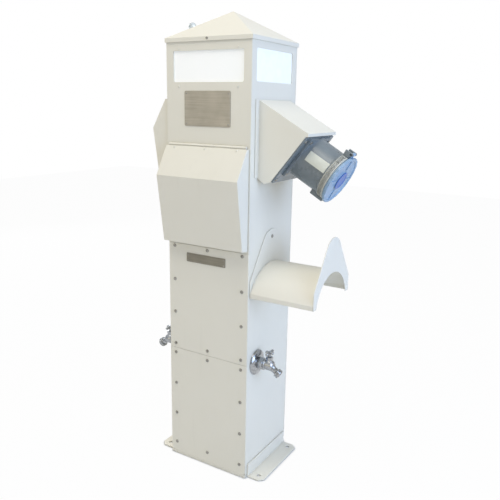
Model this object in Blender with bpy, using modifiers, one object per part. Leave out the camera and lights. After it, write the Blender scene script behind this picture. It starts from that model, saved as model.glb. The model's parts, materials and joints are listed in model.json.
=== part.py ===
"""Power and water service pedestal: a folded sheet-metal post with a lighted head, hinged covers,
an angled pin-and-sleeve outlet, a hose rack and two taps.  Metres, +Z up.  The origin is at the
centre of the base, on the ground; the front of the post faces -Y and the outlet faces +X."""
import math

import bmesh
import bpy
from mathutils import Matrix, Vector

# Post
POST_WIDTH = 0.254
POST_DEPTH = 0.228
POST_TOP = 1.1615
SHEET = 0.003
GAP = 0.0003
OVERLAP = 0.002
CHANNEL_FLANGE = 0.028
SILL_HEIGHT = 0.008
PANEL_SEAM = 0.335
PANEL_TOP = 0.6405
PANEL_CORNER = 0.010
CROSS_RAIL_HEIGHT = 0.056

# Base
BASE_PLATE = 0.006
BASE_ANGLE_LEG = 0.0385
BASE_ANGLE_REACH = 0.049
BASE_ANGLE_THICKNESS = 0.0035
BASE_ANGLE_HALF_LENGTH = 0.104
BASE_ANGLE_CHAMFER = 0.012
ANCHOR_RADIUS = 0.006
ANCHOR_FROM_FACE = 0.028
ANCHOR_Y = 0.085
CABLE_OPENING = (0.120, 0.064)
CABLE_OPENING_Y = 0.060



def below_top(depth):
    """A height measured down from the top of the post, so that the head follows the post's length."""
    return POST_TOP - depth


# Head
WINDOW_BOTTOM = below_top(0.1035)
WINDOW_TOP = below_top(0.0285)
WINDOW_HALF = 0.105
SIDE_WINDOW_BOTTOM = below_top(0.1015)
SIDE_WINDOW_TOP = below_top(0.0245)
SIDE_WINDOW_HALF = 0.091
WINDOW_CORNER = 0.005
LENS_LAP = 0.0067
LENS_TOP_LAP = 0.0107
LENS_BOTTOM_LAP = 0.0167
LENS = 0.003

# Cap
LIP_BOTTOM = below_top(0.0075)
LIP_TOP = below_top(-0.0025)
APEX_HEIGHT = 0.071
CAP_SHEET = 0.0027
APEX_FLAT = 0.002
PHOTOCELL_X = -0.088
PHOTOCELL_Y = -0.048
PHOTOCELL_RADIUS = 0.010
PHOTOCELL_HEIGHT = 0.022
PHOTOCELL_STEM = 0.006

# Lamp
TRAY_Z = below_top(0.1315)
LAMP_HOLDER = (0.019, 0.030)
LAMP_RADIUS = 0.026
LAMP_HEIGHT = 0.080

# Plates for lettering, left bare
NAMEPLATE = (-0.070, 0.069, below_top(0.2105), below_top(0.1245))
ID_PLATE = (-0.067, 0.057, PANEL_TOP - 0.0465, PANEL_TOP - 0.0225)
PLATE_SHEET = 0.001

# Hinged covers: the side profile is (distance from the wall, height below the top)
COVER_SHEET = 0.0025
COVER_TOP_OUT = 0.008
COVER_RIDGE = (0.0525, 0.0775)
COVER_FRONT_FOOT = (0.026, 0.254)
COVER_BACK_FOOT = 0.259
COVER_WALL_GAP = 0.0005
FRONT_COVER_TOP = below_top(0.2575)
FRONT_COVER_HALF = 0.1235
LEFT_COVER_TOP = below_top(0.1415)
LEFT_COVER_HALF = 0.110

# Cover hinges
KNUCKLE_RADIUS = 0.0035
HINGE_PIN = 0.0015
HINGE_BORE = HINGE_PIN + GAP
HINGE_LEAF = 0.0012
HINGE_LEAF_WIDTH = 0.022
HINGE_INSET = 0.0055
KNUCKLES = 5

# Breakers behind the front cover
BREAKER_OPENING = (0.095, FRONT_COVER_TOP - 0.232, FRONT_COVER_TOP - 0.036)
BREAKER_PLATE = 0.002
BREAKER_PLATE_LAP = 0.018
BREAKER_X = (-0.045, 0.045)
BREAKER_Z = FRONT_COVER_TOP - 0.134
BREAKER_BODY = (0.026, 0.060, 0.090)
BREAKER_NOSE = (0.024, 0.012, 0.045)
TOGGLE_BARREL = 0.0055
TOGGLE_WIDTH = 0.0114
TOGGLE_LENGTH = 0.017
TOGGLE_THICKNESS = 0.005
TOGGLE_TILT = math.radians(25.0)
RAIL = (0.007, 0.035)

# Outlet behind the left cover
LEFT_OPENING = (0.066, LEFT_COVER_TOP - 0.215, LEFT_COVER_TOP - 0.065)
LEFT_PLATE_LAP = 0.012
LEFT_PLATE = 0.002
LEFT_OUTLET_Z = LEFT_COVER_TOP - 0.140
LEFT_OUTLET_PITCH = 0.039
LEFT_OUTLET_FACE = 0.0168
LEFT_OUTLET_BODY = (0.036, 0.044, 0.092)
BLADE_PITCH = 0.0126
BLADE_SLOT = (0.0011, -0.001, 0.007)
EARTH_HOLE = 0.0024
EARTH_BELOW = 0.0075
CONTACT_SLOT_DEPTH = 0.012

# Angled outlet housing: the side profile is (distance from the wall, height)
HOUSING_SHEET = 0.0025
HOUSING_HALF = 0.080
HOUSING_TOP = below_top(0.1415)
HOUSING_RIDGE = (0.136, HOUSING_TOP - 0.078)
HOUSING_DRIP = 0.0073
HOUSING_DRIP_OVERHANG = 0.007
HOUSING_KNEE = (0.037, HOUSING_TOP - 0.199)
HOUSING_FOOT = (0.020, HOUSING_TOP - 0.204)
HOUSING_BACK_FOOT = HOUSING_TOP - 0.191
HOUSING_FLANGE = 0.015
HOUSING_FLANGE_SHEET = 0.002
HOUSING_WALL_OPENING = (0.062, HOUSING_TOP - 0.175, HOUSING_TOP - 0.035)
SOCKET_PLATE_SHEET = 0.004
SOCKET_PLATE_EDGE = 0.001
SOCKET_HOLE_CLEARANCE = 0.001

# Socket: lengths run along its axis from the outer face of its plate
SOCKET_TILT = math.radians(30.0)
SOCKET_FROM_RIDGE = 0.00213
SOCKET_BODY = 0.0575
SOCKET_SHOULDER = 0.084
SOCKET_COLLAR = SOCKET_BODY + 0.0025
SOCKET_MOUTH = 0.100
SOCKET_BORE = 0.046
SOCKET_CLEARANCE_HOLE = SOCKET_BORE + SOCKET_HOLE_CLEARANCE
SOCKET_FLOOR = 0.018
SOCKET_BEHIND = 0.030
SOCKET_FLANGE = (2 * (SOCKET_BODY + 0.0015), 0.006)
CARRIER_TOP = 0.055
CONTACT_CIRCLE = 0.022
CONTACT_COUNT = 4
CONTACT_RADIUS = 0.0052
CONTACT_LENGTH = 0.028
LID_RADIUS = SOCKET_COLLAR - 0.001
LID_SHEET = 0.0035
LOCK_RING = SOCKET_COLLAR + 0.004
LOCK_RING_SHEET = 0.006
LOCK_RING_BORE = 0.020
LID_BOSS_CAP = 0.024
LID_BOSS_CAP_SHEET = 0.002
LID_PIN_RISE = LOCK_RING + 0.006
LID_PIN = 0.0022
LID_KNUCKLE = 0.0045
LID_TONGUE_HALF = 0.008
LID_EAR = 0.005
LID_EAR_LENGTH = 0.016
LABEL_FROM_COLLAR = 0.001
LABEL_WIDTH = 0.026
LABEL_START = 0.0165
LABEL_TURN = math.radians(69.0)
LABEL_SHEET = 0.0008

# Hose rack
RACK_TOP = 0.600
RACK_EDGE = 0.523
RACK_HEM = 0.012
RACK_HALF = 0.108
RACK_SHEET = 0.0025
RACK_LENGTH = 0.176
RACK_FLANGE_SHOULDER = 0.567
RACK_FLANGE_APEX = 0.688
RACK_FLANGE_NOSE = 0.0487
RACK_ARCH = 0.0945
RACK_ARCH_BELOW = 0.0015

# Taps
TAP_Y = -0.065
TAP_Z = 0.331
TAP_BELL = 0.035
TAP_BELL_DEPTH = 0.016
TAP_PIPE = 0.0105
TAP_INLET = 0.058
TAP_HEX = 0.0155
TAP_HEX_FROM = 0.0165
TAP_HEX_LENGTH = 0.010
TAP_BODY = 0.0135
TAP_BODY_END = 0.054
TAP_BONNET_OUT = 0.041
TAP_BONNET_RADIUS = 0.0105
TAP_BONNET_TOP = 0.025
TAP_STEM = 0.004
TAP_HANDLE_UP = 0.036
TAP_HANDLE_BAR = 0.0045
TAP_HANDLE_LENGTH = 0.038
TAP_SPOUT_DROP = math.radians(32.0)
TAP_SPOUT_LENGTH = 0.034
TAP_SPOUT_RADIUS = 0.0105
TAP_NOZZLE = 0.0130
TAP_SPOUT_BACK = 0.009
TAP_SPOUT_LOW = 0.002
TAP_NOZZLE_LENGTH = 0.010
TAP_WATER_WAY = 0.016
TAP_SPOUT_BORE = 0.007

# Water riser and terminal block
PIPE_COUPLING = 0.0145
PIPE_COUPLING_LENGTH = 0.024
TERMINAL_BLOCK = (0.120, 0.034, 0.050)
TERMINAL_Y = -0.005
TERMINAL_WAYS = 4

FINISHES = {
    "white": ((0.72, 0.70, 0.63), 0.35, 0.0),
    "opal": ((0.85, 0.87, 0.86), 0.30, 0.0),
    "plate": ((0.42, 0.38, 0.31), 0.45, 0.3),
    "galvanised": ((0.60, 0.61, 0.62), 0.45, 1.0),
    "chrome": ((0.80, 0.80, 0.80), 0.10, 1.0),
    "blue_grey": ((0.12, 0.16, 0.19), 0.45, 0.0),
    "blue": ((0.10, 0.24, 0.48), 0.35, 0.0),
    "cream": ((0.62, 0.63, 0.54), 0.55, 0.0),
    "black": ((0.03, 0.03, 0.03), 0.45, 0.0),
    "copper": ((0.70, 0.38, 0.26), 0.35, 1.0),
}

FACES = {
    "front": (Vector((1, 0, 0)), POST_DEPTH / 2),
    "right": (Vector((0, 1, 0)), POST_WIDTH / 2),
    "rear": (Vector((-1, 0, 0)), POST_DEPTH / 2),
    "left": (Vector((0, -1, 0)), POST_WIDTH / 2),
}


# ---------------------------------------------------------------- frames and outlines
def face_frame(face):
    """Local X runs across a wall of the post, local Y up it and local Z out of it."""
    across, distance = FACES[face]
    up = Vector((0, 0, 1))
    out = across.cross(up)
    return axes_matrix(across, up, out, out * distance)


def axes_matrix(x_axis, y_axis, z_axis, origin):
    matrix = Matrix((x_axis, y_axis, z_axis)).transposed().to_4x4()
    matrix.translation = origin
    return matrix


def side_view(face):
    """Local X runs out of a wall and local Y up it, for profiles seen from the side."""
    frame = face_frame(face)
    out, up = frame.col[2].to_3d(), frame.col[1].to_3d()
    return axes_matrix(out, up, out.cross(up), frame.translation)


def rectangle(left, right, bottom, top):
    return [(left, bottom), (right, bottom), (right, top), (left, top)]


def arc(centre, radius, start, end, steps):
    angles = [start + (end - start) * step / steps for step in range(steps + 1)]
    return [(centre[0] + radius * math.cos(a), centre[1] + radius * math.sin(a)) for a in angles]


def circle(centre, radius, steps=16):
    return arc(centre, radius, 0.0, math.tau, steps)[:-1]


def rounded_rectangle(left, right, bottom, top, bottom_radius, top_radius, steps=3):
    quarter = math.pi / 2
    low, high = bottom_radius, top_radius
    return (arc((left + low, bottom + low), low, 2 * quarter, 3 * quarter, steps)
            + arc((right - low, bottom + low), low, 3 * quarter, 4 * quarter, steps)
            + arc((right - high, top - high), high, 0.0, quarter, steps)
            + arc((left + high, top - high), high, quarter, 2 * quarter, steps))


# ---------------------------------------------------------------- making objects
def new_object(name, mesh, matrix, finish):
    """A finish of None makes a cutter, which only shapes other objects."""
    obj = bpy.data.objects.new(name, mesh)
    obj.matrix_world = matrix
    if finish is None:
        cutters.objects.link(obj)
        obj.hide_render = True
        obj.display_type = "WIRE"
        return obj
    parts.objects.link(obj)
    colour, roughness, metallic = FINISHES[finish]
    material = bpy.data.materials.new(name)
    material.use_nodes = True
    shader = material.node_tree.nodes["Principled BSDF"]
    shader.inputs["Base Color"].default_value = (*colour, 1.0)
    shader.inputs["Roughness"].default_value = roughness
    shader.inputs["Metallic"].default_value = metallic
    mesh.materials.append(material)
    return obj


def mesh_from(bm, name):
    mesh = bpy.data.meshes.new(name)
    bm.to_mesh(mesh)
    bm.free()
    return mesh


def box_mesh(low, high):
    low, high = Vector(low), Vector(high)
    bm = bmesh.new()
    bmesh.ops.create_cube(bm, size=1.0)
    bmesh.ops.scale(bm, vec=high - low, verts=bm.verts)
    bmesh.ops.translate(bm, vec=(low + high) / 2, verts=bm.verts)
    return mesh_from(bm, "box")


def add_box(name, low, high, finish, matrix=Matrix()):
    """An upright box between two corners, in the frame that matrix gives."""
    middle = (Vector(low) + Vector(high)) / 2
    mesh = box_mesh(Vector(low) - middle, Vector(high) - middle)
    return new_object(name, mesh, matrix @ Matrix.Translation(middle), finish)


def add_rod(name, radius, start, end, finish, matrix=Matrix(), steps=12):
    """A round bar from start to end."""
    start, end = Vector(start), Vector(end)
    bm = bmesh.new()
    bmesh.ops.create_cone(bm, cap_ends=True, segments=steps, radius1=radius, radius2=radius,
                          depth=(end - start).length)
    turn = (end - start).to_track_quat("Z", "X").to_matrix().to_4x4()
    obj = new_object(name, mesh_from(bm, name), matrix @ Matrix.Translation((start + end) / 2) @ turn, finish)
    smooth_round(obj.data)
    return obj


def smooth_round(mesh):
    mesh.shade_smooth()
    mesh.set_sharp_from_angle(angle=math.radians(40))


def welded_copy(holder, name):
    """The mesh that an object evaluates to, with loose caps welded; the object is removed."""
    bpy.context.scene.collection.objects.link(holder)
    evaluated = holder.evaluated_get(bpy.context.evaluated_depsgraph_get())
    mesh = bpy.data.meshes.new_from_object(evaluated)
    bpy.data.objects.remove(holder)
    mesh.name = name
    bm = bmesh.new()
    bm.from_mesh(mesh)
    bmesh.ops.remove_doubles(bm, verts=bm.verts, dist=0.00001)
    bmesh.ops.recalc_face_normals(bm, faces=bm.faces)
    bm.to_mesh(mesh)
    bm.free()
    return mesh


def outline_mesh(name, loops, thickness):
    """Flat outlines with holes, thickened evenly about their plane."""
    curve = bpy.data.curves.new(name, "CURVE")
    curve.dimensions = "2D"
    curve.fill_mode = "BOTH"
    curve.extrude = thickness / 2
    for loop in loops:
        spline = curve.splines.new("POLY")
        spline.points.add(len(loop) - 1)
        for point, (x, y) in zip(spline.points, loop):
            point.co = (x, y, 0.0, 1.0)
        spline.use_cyclic_u = True
    return welded_copy(bpy.data.objects.new(name, curve), name)


def add_sheet(name, loops, near, far, finish, matrix):
    """A flat sheet whose outline lies across the frame, between the depths near and far."""
    mesh = outline_mesh(name, loops, abs(far - near))
    return new_object(name, mesh, matrix @ Matrix.Translation((0, 0, (near + far) / 2)), finish)


def turn_profile(holder, steps):
    screw = holder.modifiers.new("Screw", "SCREW")
    screw.steps = steps
    screw.render_steps = steps
    screw.use_merge_vertices = True
    screw.merge_threshold = 0.00001


def profile_object(name, profile):
    """A profile of (radius, height) points down its outer side, before it is turned."""
    mesh = bpy.data.meshes.new(name)
    points = [(radius, 0.0, height) for radius, height in profile]
    mesh.from_pydata(points, [(i, i + 1) for i in range(len(points) - 1)], [])
    return mesh


def add_turned(name, profile, finish, matrix, steps=24):
    obj = new_object(name, profile_object(name, profile), matrix, finish)
    turn_profile(obj, steps)
    obj.modifiers["Screw"].use_smooth_shade = True
    return obj


def tube_profile(bore, radius, bottom, top):
    return [(bore, top), (radius, top), (radius, bottom), (bore, bottom), (bore, top)]


def apply_tool(obj, tool, operation):
    boolean = obj.modifiers.new(tool.name, "BOOLEAN")
    boolean.operation = operation
    boolean.solver = "EXACT"
    boolean.object = tool


def cut(obj, *tools):
    for tool in tools:
        apply_tool(obj, tool, "DIFFERENCE")


def join(obj, *tools):
    for tool in tools:
        apply_tool(obj, tool, "UNION")


# ---------------------------------------------------------------- base
def add_base():
    inner_x, inner_y = POST_WIDTH / 2 - SHEET - GAP, POST_DEPTH / 2 - 2 * (SHEET + GAP)
    half_w, half_d = CABLE_OPENING[0] / 2, CABLE_OPENING[1] / 2
    loops = [rectangle(-inner_x, inner_x, -inner_y, inner_y),
             rectangle(-half_w, half_w, CABLE_OPENING_Y - half_d, CABLE_OPENING_Y + half_d),
             circle((0.0, TAP_Y), TAP_PIPE + GAP, 16)]
    add_sheet("base_plate", loops, 0.0, BASE_PLATE, "galvanised", Matrix())
    for name, side in (("base_angle_right", 1), ("base_angle_left", -1)):
        add_base_angle(name, side)
    sill = [rectangle(-POST_WIDTH / 2, POST_WIDTH / 2, 0.0, SILL_HEIGHT - GAP)]
    for face in ("front", "rear"):
        add_sheet(face + "_sill", sill, 0.0, -SHEET, "white", face_frame(face))


def add_base_angle(name, side):
    """An angle outside a side wall, drilled for two anchors, with its floor corners cut off."""
    near, far = GAP, GAP + BASE_ANGLE_REACH
    web, leg = BASE_ANGLE_THICKNESS, BASE_ANGLE_LEG
    profile = [(near, 0.0), (far, 0.0), (far, web), (near + web, web), (near + web, leg), (near, leg)]
    mesh = outline_mesh(name, [profile], 2 * BASE_ANGLE_HALF_LENGTH)
    face = "right" if side > 0 else "left"
    obj = new_object(name, mesh, side_view(face), "white")
    for y in (-ANCHOR_Y, ANCHOR_Y):
        x = side * (POST_WIDTH / 2 + ANCHOR_FROM_FACE)
        cut(obj, add_rod("anchor_hole", ANCHOR_RADIUS, (x, y, -leg), (x, y, leg / 2), None, steps=16))
        corner = Vector((side * (POST_WIDTH / 2 + far), math.copysign(BASE_ANGLE_HALF_LENGTH, y), 0.0))
        size = BASE_ANGLE_CHAMFER / math.sqrt(2)
        turn = Matrix.Translation(corner) @ Matrix.Rotation(math.pi / 4, 4, "Z")
        cut(obj, add_box("corner_cut", (-size, -size, -leg), (size, size, leg / 2), None, turn))


# ---------------------------------------------------------------- post
def add_side_channels():
    """Each side of the post is one sheet folded into a channel, whose flanges carry the panels."""
    for face, side in (("right", 1), ("left", -1)):
        outer, inner = side * POST_WIDTH / 2, side * (POST_WIDTH / 2 - SHEET)
        edge = side * (POST_WIDTH / 2 - CHANNEL_FLANGE)
        back = POST_DEPTH / 2 - SHEET - GAP
        section = [(outer, -back), (outer, back), (edge, back), (edge, back - SHEET), (inner, back - SHEET),
                   (inner, SHEET - back), (edge, SHEET - back), (edge, -back)]
        name = "side_channel_" + face
        mesh = outline_mesh(name, [section], POST_TOP)
        obj = new_object(name, mesh, Matrix.Translation((0, 0, POST_TOP / 2)), "white")
        window = [rounded_rectangle(-SIDE_WINDOW_HALF, SIDE_WINDOW_HALF, SIDE_WINDOW_BOTTOM, SIDE_WINDOW_TOP,
                                    WINDOW_CORNER, WINDOW_CORNER)]
        cut(obj, add_sheet("side_window", window, SHEET, -2 * SHEET, None, face_frame(face)))
        cut(obj, lens_notch())
        half, low, high = HOUSING_WALL_OPENING if side > 0 else LEFT_OPENING
        opening = [rectangle(-half, half, low, high)]
        cut(obj, add_sheet("wall_opening", opening, SHEET, -2 * SHEET, None, face_frame(face)))
        tap = side * TAP_Y
        cut(obj, add_sheet("pipe_hole", [circle((tap, TAP_Z), TAP_PIPE + GAP, 16)], SHEET, -2 * SHEET, None,
                           face_frame(face)))


def lens_notch():
    """The channel flanges stop short of the front and rear lenses."""
    half = WINDOW_HALF + LENS_LAP + GAP
    deep = POST_DEPTH / 2
    return add_box("lens_notch", (-half, -deep, WINDOW_BOTTOM - LENS_BOTTOM_LAP - GAP),
                   (half, deep, WINDOW_TOP + LENS_TOP_LAP + GAP), None)


def add_head_sheets():
    half = POST_WIDTH / 2
    window = rounded_rectangle(-WINDOW_HALF, WINDOW_HALF, WINDOW_BOTTOM, WINDOW_TOP, WINDOW_CORNER, GAP)
    loops = [rectangle(-half, half, PANEL_TOP + GAP, POST_TOP), window]
    add_sheet("rear_head_sheet", loops, 0.0, -SHEET, "white", face_frame("rear"))
    wide, low, high = BREAKER_OPENING
    loops = loops + [rectangle(-wide, wide, low, high)]
    add_sheet("front_head_sheet", loops, 0.0, -SHEET, "white", face_frame("front"))


def add_access_panels():
    half = POST_WIDTH / 2
    for face in ("front", "rear"):
        low, seam, high = SILL_HEIGHT, PANEL_SEAM, PANEL_TOP
        loops = [rounded_rectangle(-half, half, low, seam - GAP, PANEL_CORNER, GAP)]
        add_sheet(face + "_access_panel_lower", loops, 0.0, -SHEET, "white", face_frame(face))
        loops = [rectangle(-half, half, seam + GAP, high - GAP)]
        add_sheet(face + "_access_panel_upper", loops, 0.0, -SHEET, "white", face_frame(face))


def add_cross_rails():
    """A flat bar between the channel flanges, behind the seam of each pair of access panels."""
    half = POST_WIDTH / 2 - CHANNEL_FLANGE - GAP
    low, high = PANEL_SEAM - CROSS_RAIL_HEIGHT / 2, PANEL_SEAM + CROSS_RAIL_HEIGHT / 2
    near = -SHEET - GAP
    for face in ("front", "rear"):
        add_sheet("cross_rail_" + face, [rectangle(-half, half, low, high)], near, near - SHEET, "galvanised",
                  face_frame(face))


# ---------------------------------------------------------------- head and cap
def add_lenses():
    near = -SHEET - GAP
    sizes = {"front": (WINDOW_HALF, WINDOW_BOTTOM, WINDOW_TOP),
             "rear": (WINDOW_HALF, WINDOW_BOTTOM, WINDOW_TOP),
             "right": (SIDE_WINDOW_HALF, SIDE_WINDOW_BOTTOM, SIDE_WINDOW_TOP),
             "left": (SIDE_WINDOW_HALF, SIDE_WINDOW_BOTTOM, SIDE_WINDOW_TOP)}
    for face, (half, low, high) in sizes.items():
        loop = rectangle(-half - LENS_LAP, half + LENS_LAP, low - LENS_BOTTOM_LAP, high + LENS_TOP_LAP)
        add_sheet("lens_" + face, [loop], near, near - LENS, "opal", face_frame(face))


def cap_slope(x):
    """Height of the roof's outer surface above the middle of a side, at x."""
    reach = POST_WIDTH / 2 + GAP + CAP_SHEET
    return LIP_TOP + APEX_HEIGHT * (1 - abs(x) / reach)


def add_roof_cap():
    """A four-sided roof with a short upright lip, folded from one sheet."""
    half_x = POST_WIDTH / 2 + GAP + CAP_SHEET
    half_y = POST_DEPTH / 2 + GAP + CAP_SHEET
    bm = bmesh.new()
    bmesh.ops.create_cone(bm, cap_ends=False, segments=4, radius1=math.sqrt(2), radius2=APEX_FLAT / half_x,
                          depth=APEX_HEIGHT)
    bmesh.ops.rotate(bm, matrix=Matrix.Rotation(math.pi / 4, 3, "Z"), verts=bm.verts)
    bmesh.ops.scale(bm, vec=(half_x, half_y, 1.0), verts=bm.verts)
    bmesh.ops.translate(bm, vec=(0, 0, LIP_TOP + APEX_HEIGHT / 2), verts=bm.verts)
    rims = sorted((edge for edge in bm.edges if edge.is_boundary), key=lambda e: e.verts[0].co.z)
    bmesh.ops.contextual_create(bm, geom=rims[4:])
    skirt = bmesh.ops.extrude_edge_only(bm, edges=rims[:4])["geom"]
    lowered = [item for item in skirt if isinstance(item, bmesh.types.BMVert)]
    bmesh.ops.translate(bm, vec=(0, 0, LIP_BOTTOM - LIP_TOP), verts=lowered)
    bmesh.ops.recalc_face_normals(bm, faces=bm.faces)
    obj = new_object("roof_cap", mesh_from(bm, "roof_cap"), Matrix(), "white")
    thicken(obj, CAP_SHEET)
    cut(obj, photocell_hole())


def thicken(obj, thickness):
    solidify = obj.modifiers.new("Solidify", "SOLIDIFY")
    solidify.thickness = thickness
    solidify.offset = -1.0
    solidify.use_even_offset = True
    return solidify


def photocell_frame():
    reach = POST_WIDTH / 2 + GAP + CAP_SHEET
    lean = math.atan2(APEX_HEIGHT, reach)
    place = Matrix.Translation((PHOTOCELL_X, PHOTOCELL_Y, cap_slope(PHOTOCELL_X)))
    return place @ Matrix.Rotation(-lean, 4, "Y")


def photocell_hole():
    deep = 4 * CAP_SHEET
    return add_rod("photocell_hole", PHOTOCELL_STEM + GAP, (0, 0, -deep), (0, 0, deep), None,
                   photocell_frame(), 16)


def add_photocell():
    high, round_up = PHOTOCELL_HEIGHT, 0.6 * PHOTOCELL_RADIUS
    profile = [(0.0, high), (0.7 * PHOTOCELL_RADIUS, high - 0.3 * round_up),
               (PHOTOCELL_RADIUS, high - round_up),
               (PHOTOCELL_RADIUS, GAP), (PHOTOCELL_STEM, GAP), (PHOTOCELL_STEM, -3 * CAP_SHEET),
               (0.0, -3 * CAP_SHEET)]
    add_turned("photocell", profile, "opal", photocell_frame(), 16)


def add_lamp():
    half_x = POST_WIDTH / 2 - SHEET - GAP
    half_y = POST_DEPTH / 2 - 2 * (SHEET + GAP)
    tray = [rectangle(-half_x, half_x, -half_y, half_y)]
    add_sheet("lamp_tray", tray, TRAY_Z, TRAY_Z + SHEET, "white", Matrix())
    radius, height = LAMP_HOLDER
    base = TRAY_Z + SHEET + GAP
    add_turned("lamp_holder", [(0.0, base + height), (radius, base + height), (radius, base), (0.0, base)],
               "cream", Matrix(), 16)
    foot = base + height + GAP
    top = foot + LAMP_HEIGHT
    dome = arc((0.0, top - LAMP_RADIUS), LAMP_RADIUS, math.pi / 2, 0.0, 4)
    neck = 0.5 * LAMP_RADIUS
    profile = dome + [(LAMP_RADIUS, foot + LAMP_RADIUS), (neck, foot), (0.0, foot)]
    profile[0] = (0.0, top)
    add_turned("lamp", profile, "opal", Matrix(), 16)


def add_wall_plates():
    """Thin plates stuck to the front, left without lettering."""
    for name, (left, right, low, high) in (("nameplate", NAMEPLATE), ("id_plate", ID_PLATE)):
        loops = [rounded_rectangle(left, right, low, high, 2 * PLATE_SHEET, 2 * PLATE_SHEET)]
        add_sheet(name, loops, GAP, GAP + PLATE_SHEET, "plate", face_frame("front"))


# ---------------------------------------------------------------- hinged covers
def prism_shell(name, profile, open_edges, half_width, sheet, matrix, finish):
    """A side profile drawn out to a box, with some of its walls left off, in sheet of one thickness."""
    mesh = outline_mesh(name, [profile], 2 * half_width)
    bm = bmesh.new()
    bm.from_mesh(mesh)
    near = 0.00001
    for index in open_edges:
        ends = [Vector(profile[index]), Vector(profile[(index + 1) % len(profile)])]
        off = [face for face in bm.faces if all(min((v.co.xy - end).length for end in ends) < near
                                                for v in face.verts)]
        bmesh.ops.delete(bm, geom=off, context="FACES")
    bmesh.ops.dissolve_limit(bm, angle_limit=0.01, verts=bm.verts, edges=bm.edges)
    bm.to_mesh(mesh)
    bm.free()
    obj = new_object(name, mesh, matrix, finish)
    thicken(obj, sheet)
    return obj


def trimming_block(face, gap):
    """Trims a shell flush with its wall, leaving a gap to it."""
    return add_box("trim", (-POST_WIDTH, 0.0, -POST_WIDTH / 2), (POST_WIDTH, POST_TOP, gap), None,
                   face_frame(face))


def hinge_centre():
    """Centre of the knuckles, out from the wall and down from the top of a cover."""
    return KNUCKLE_RADIUS + GAP, 0.0


def slope_frame(face, top):
    """At the top of a cover: local X out of its sloping sheet, local Y down it, Z along the hinge."""
    run, drop = COVER_RIDGE[0] - COVER_TOP_OUT, COVER_RIDGE[1]
    down = Vector((run, -drop)).normalized()
    view = side_view(face)
    out_2d = Vector((-down.y, down.x))
    x_axis = view.to_3x3() @ out_2d.to_3d()
    y_axis = view.to_3x3() @ down.to_3d()
    origin = view @ Vector((COVER_TOP_OUT, top, 0.0))
    return axes_matrix(x_axis, y_axis, x_axis.cross(y_axis), origin)


def add_cover(side_name, face, top, half):
    """A wedge-shaped cover and its hinge with two leaves."""
    slope_start = KNUCKLE_RADIUS
    run, drop = COVER_RIDGE[0] - COVER_TOP_OUT, COVER_RIDGE[1]
    length = math.hypot(run, drop)
    start = (COVER_TOP_OUT + run * slope_start / length, top - drop * slope_start / length)
    profile = [(-COVER_SHEET, start[1]), (-COVER_SHEET, top - COVER_BACK_FOOT),
               (COVER_FRONT_FOOT[0], top - COVER_FRONT_FOOT[1]),
               (COVER_RIDGE[0], top - COVER_RIDGE[1]), start]
    name = "breaker_cover" if face == "front" else "outlet_cover"
    cover = prism_shell(name, profile, (0, 4), half, COVER_SHEET, side_view(face), "white")
    cut(cover, trimming_block(face, COVER_WALL_GAP))
    add_hinge(side_name, face, top, half - HINGE_INSET, slope_frame(face, top))


def knuckle_rods(name, frame, spans, radius):
    """Solid knuckles with the tabs that tie them to a leaf, along the hinge axis."""
    bm_tools = []
    for low, high in spans:
        bm_tools.append(add_rod(name, radius, (0, 0, low), (0, 0, high), None, frame))
    return bm_tools


def add_hinge(side_name, face, top, half, slope):
    """A butt hinge: the fixed leaf keeps the pin, the moving leaf has bored knuckles."""
    out, down = hinge_centre()
    view = side_view(face)
    axis = view @ Matrix.Translation((out, top - down, 0.0))
    pitch = 2 * half / KNUCKLES
    spans = [(-half + pitch * i + GAP / 2, -half + pitch * (i + 1) - GAP / 2) for i in range(KNUCKLES)]
    clear = KNUCKLE_RADIUS + GAP
    leaf_low, leaf_high = GAP - out, GAP + HINGE_LEAF - out
    fixed = add_box(side_name + "_hinge_fixed_leaf", (leaf_low, -HINGE_LEAF_WIDTH, -half),
                    (leaf_high, -clear, half), "galvanised", axis)
    for low, high in spans[0::2]:
        join(fixed, add_box("tab", (leaf_low, -clear - HINGE_LEAF, low), (leaf_high, 0.0, high), None, axis))
    join(fixed, *knuckle_rods("knuckle", axis, spans[0::2], KNUCKLE_RADIUS))
    join(fixed, add_rod("pin", HINGE_PIN, (0, 0, -half + GAP), (0, 0, half - GAP), None, axis))
    # the moving leaf lies under the slope, whose inner surface is one sheet in from its frame
    centre = slope.inverted() @ axis.translation
    high_x, low_x = -COVER_SHEET - GAP, -COVER_SHEET - GAP - HINGE_LEAF
    moving = add_box(side_name + "_hinge_moving_leaf", (low_x, centre.y + clear, -half),
                     (high_x, centre.y + HINGE_LEAF_WIDTH, half), "galvanised", slope)
    for low, high in spans[1::2]:
        join(moving, add_box("tab", (low_x, centre.y, low), (high_x, centre.y + clear + HINGE_LEAF, high),
                             None, slope))
    join(moving, *knuckle_rods("knuckle", axis, spans[1::2], KNUCKLE_RADIUS))
    cut(moving, add_rod("bore", HINGE_BORE, (0, 0, -half), (0, 0, half), None, axis))


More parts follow.
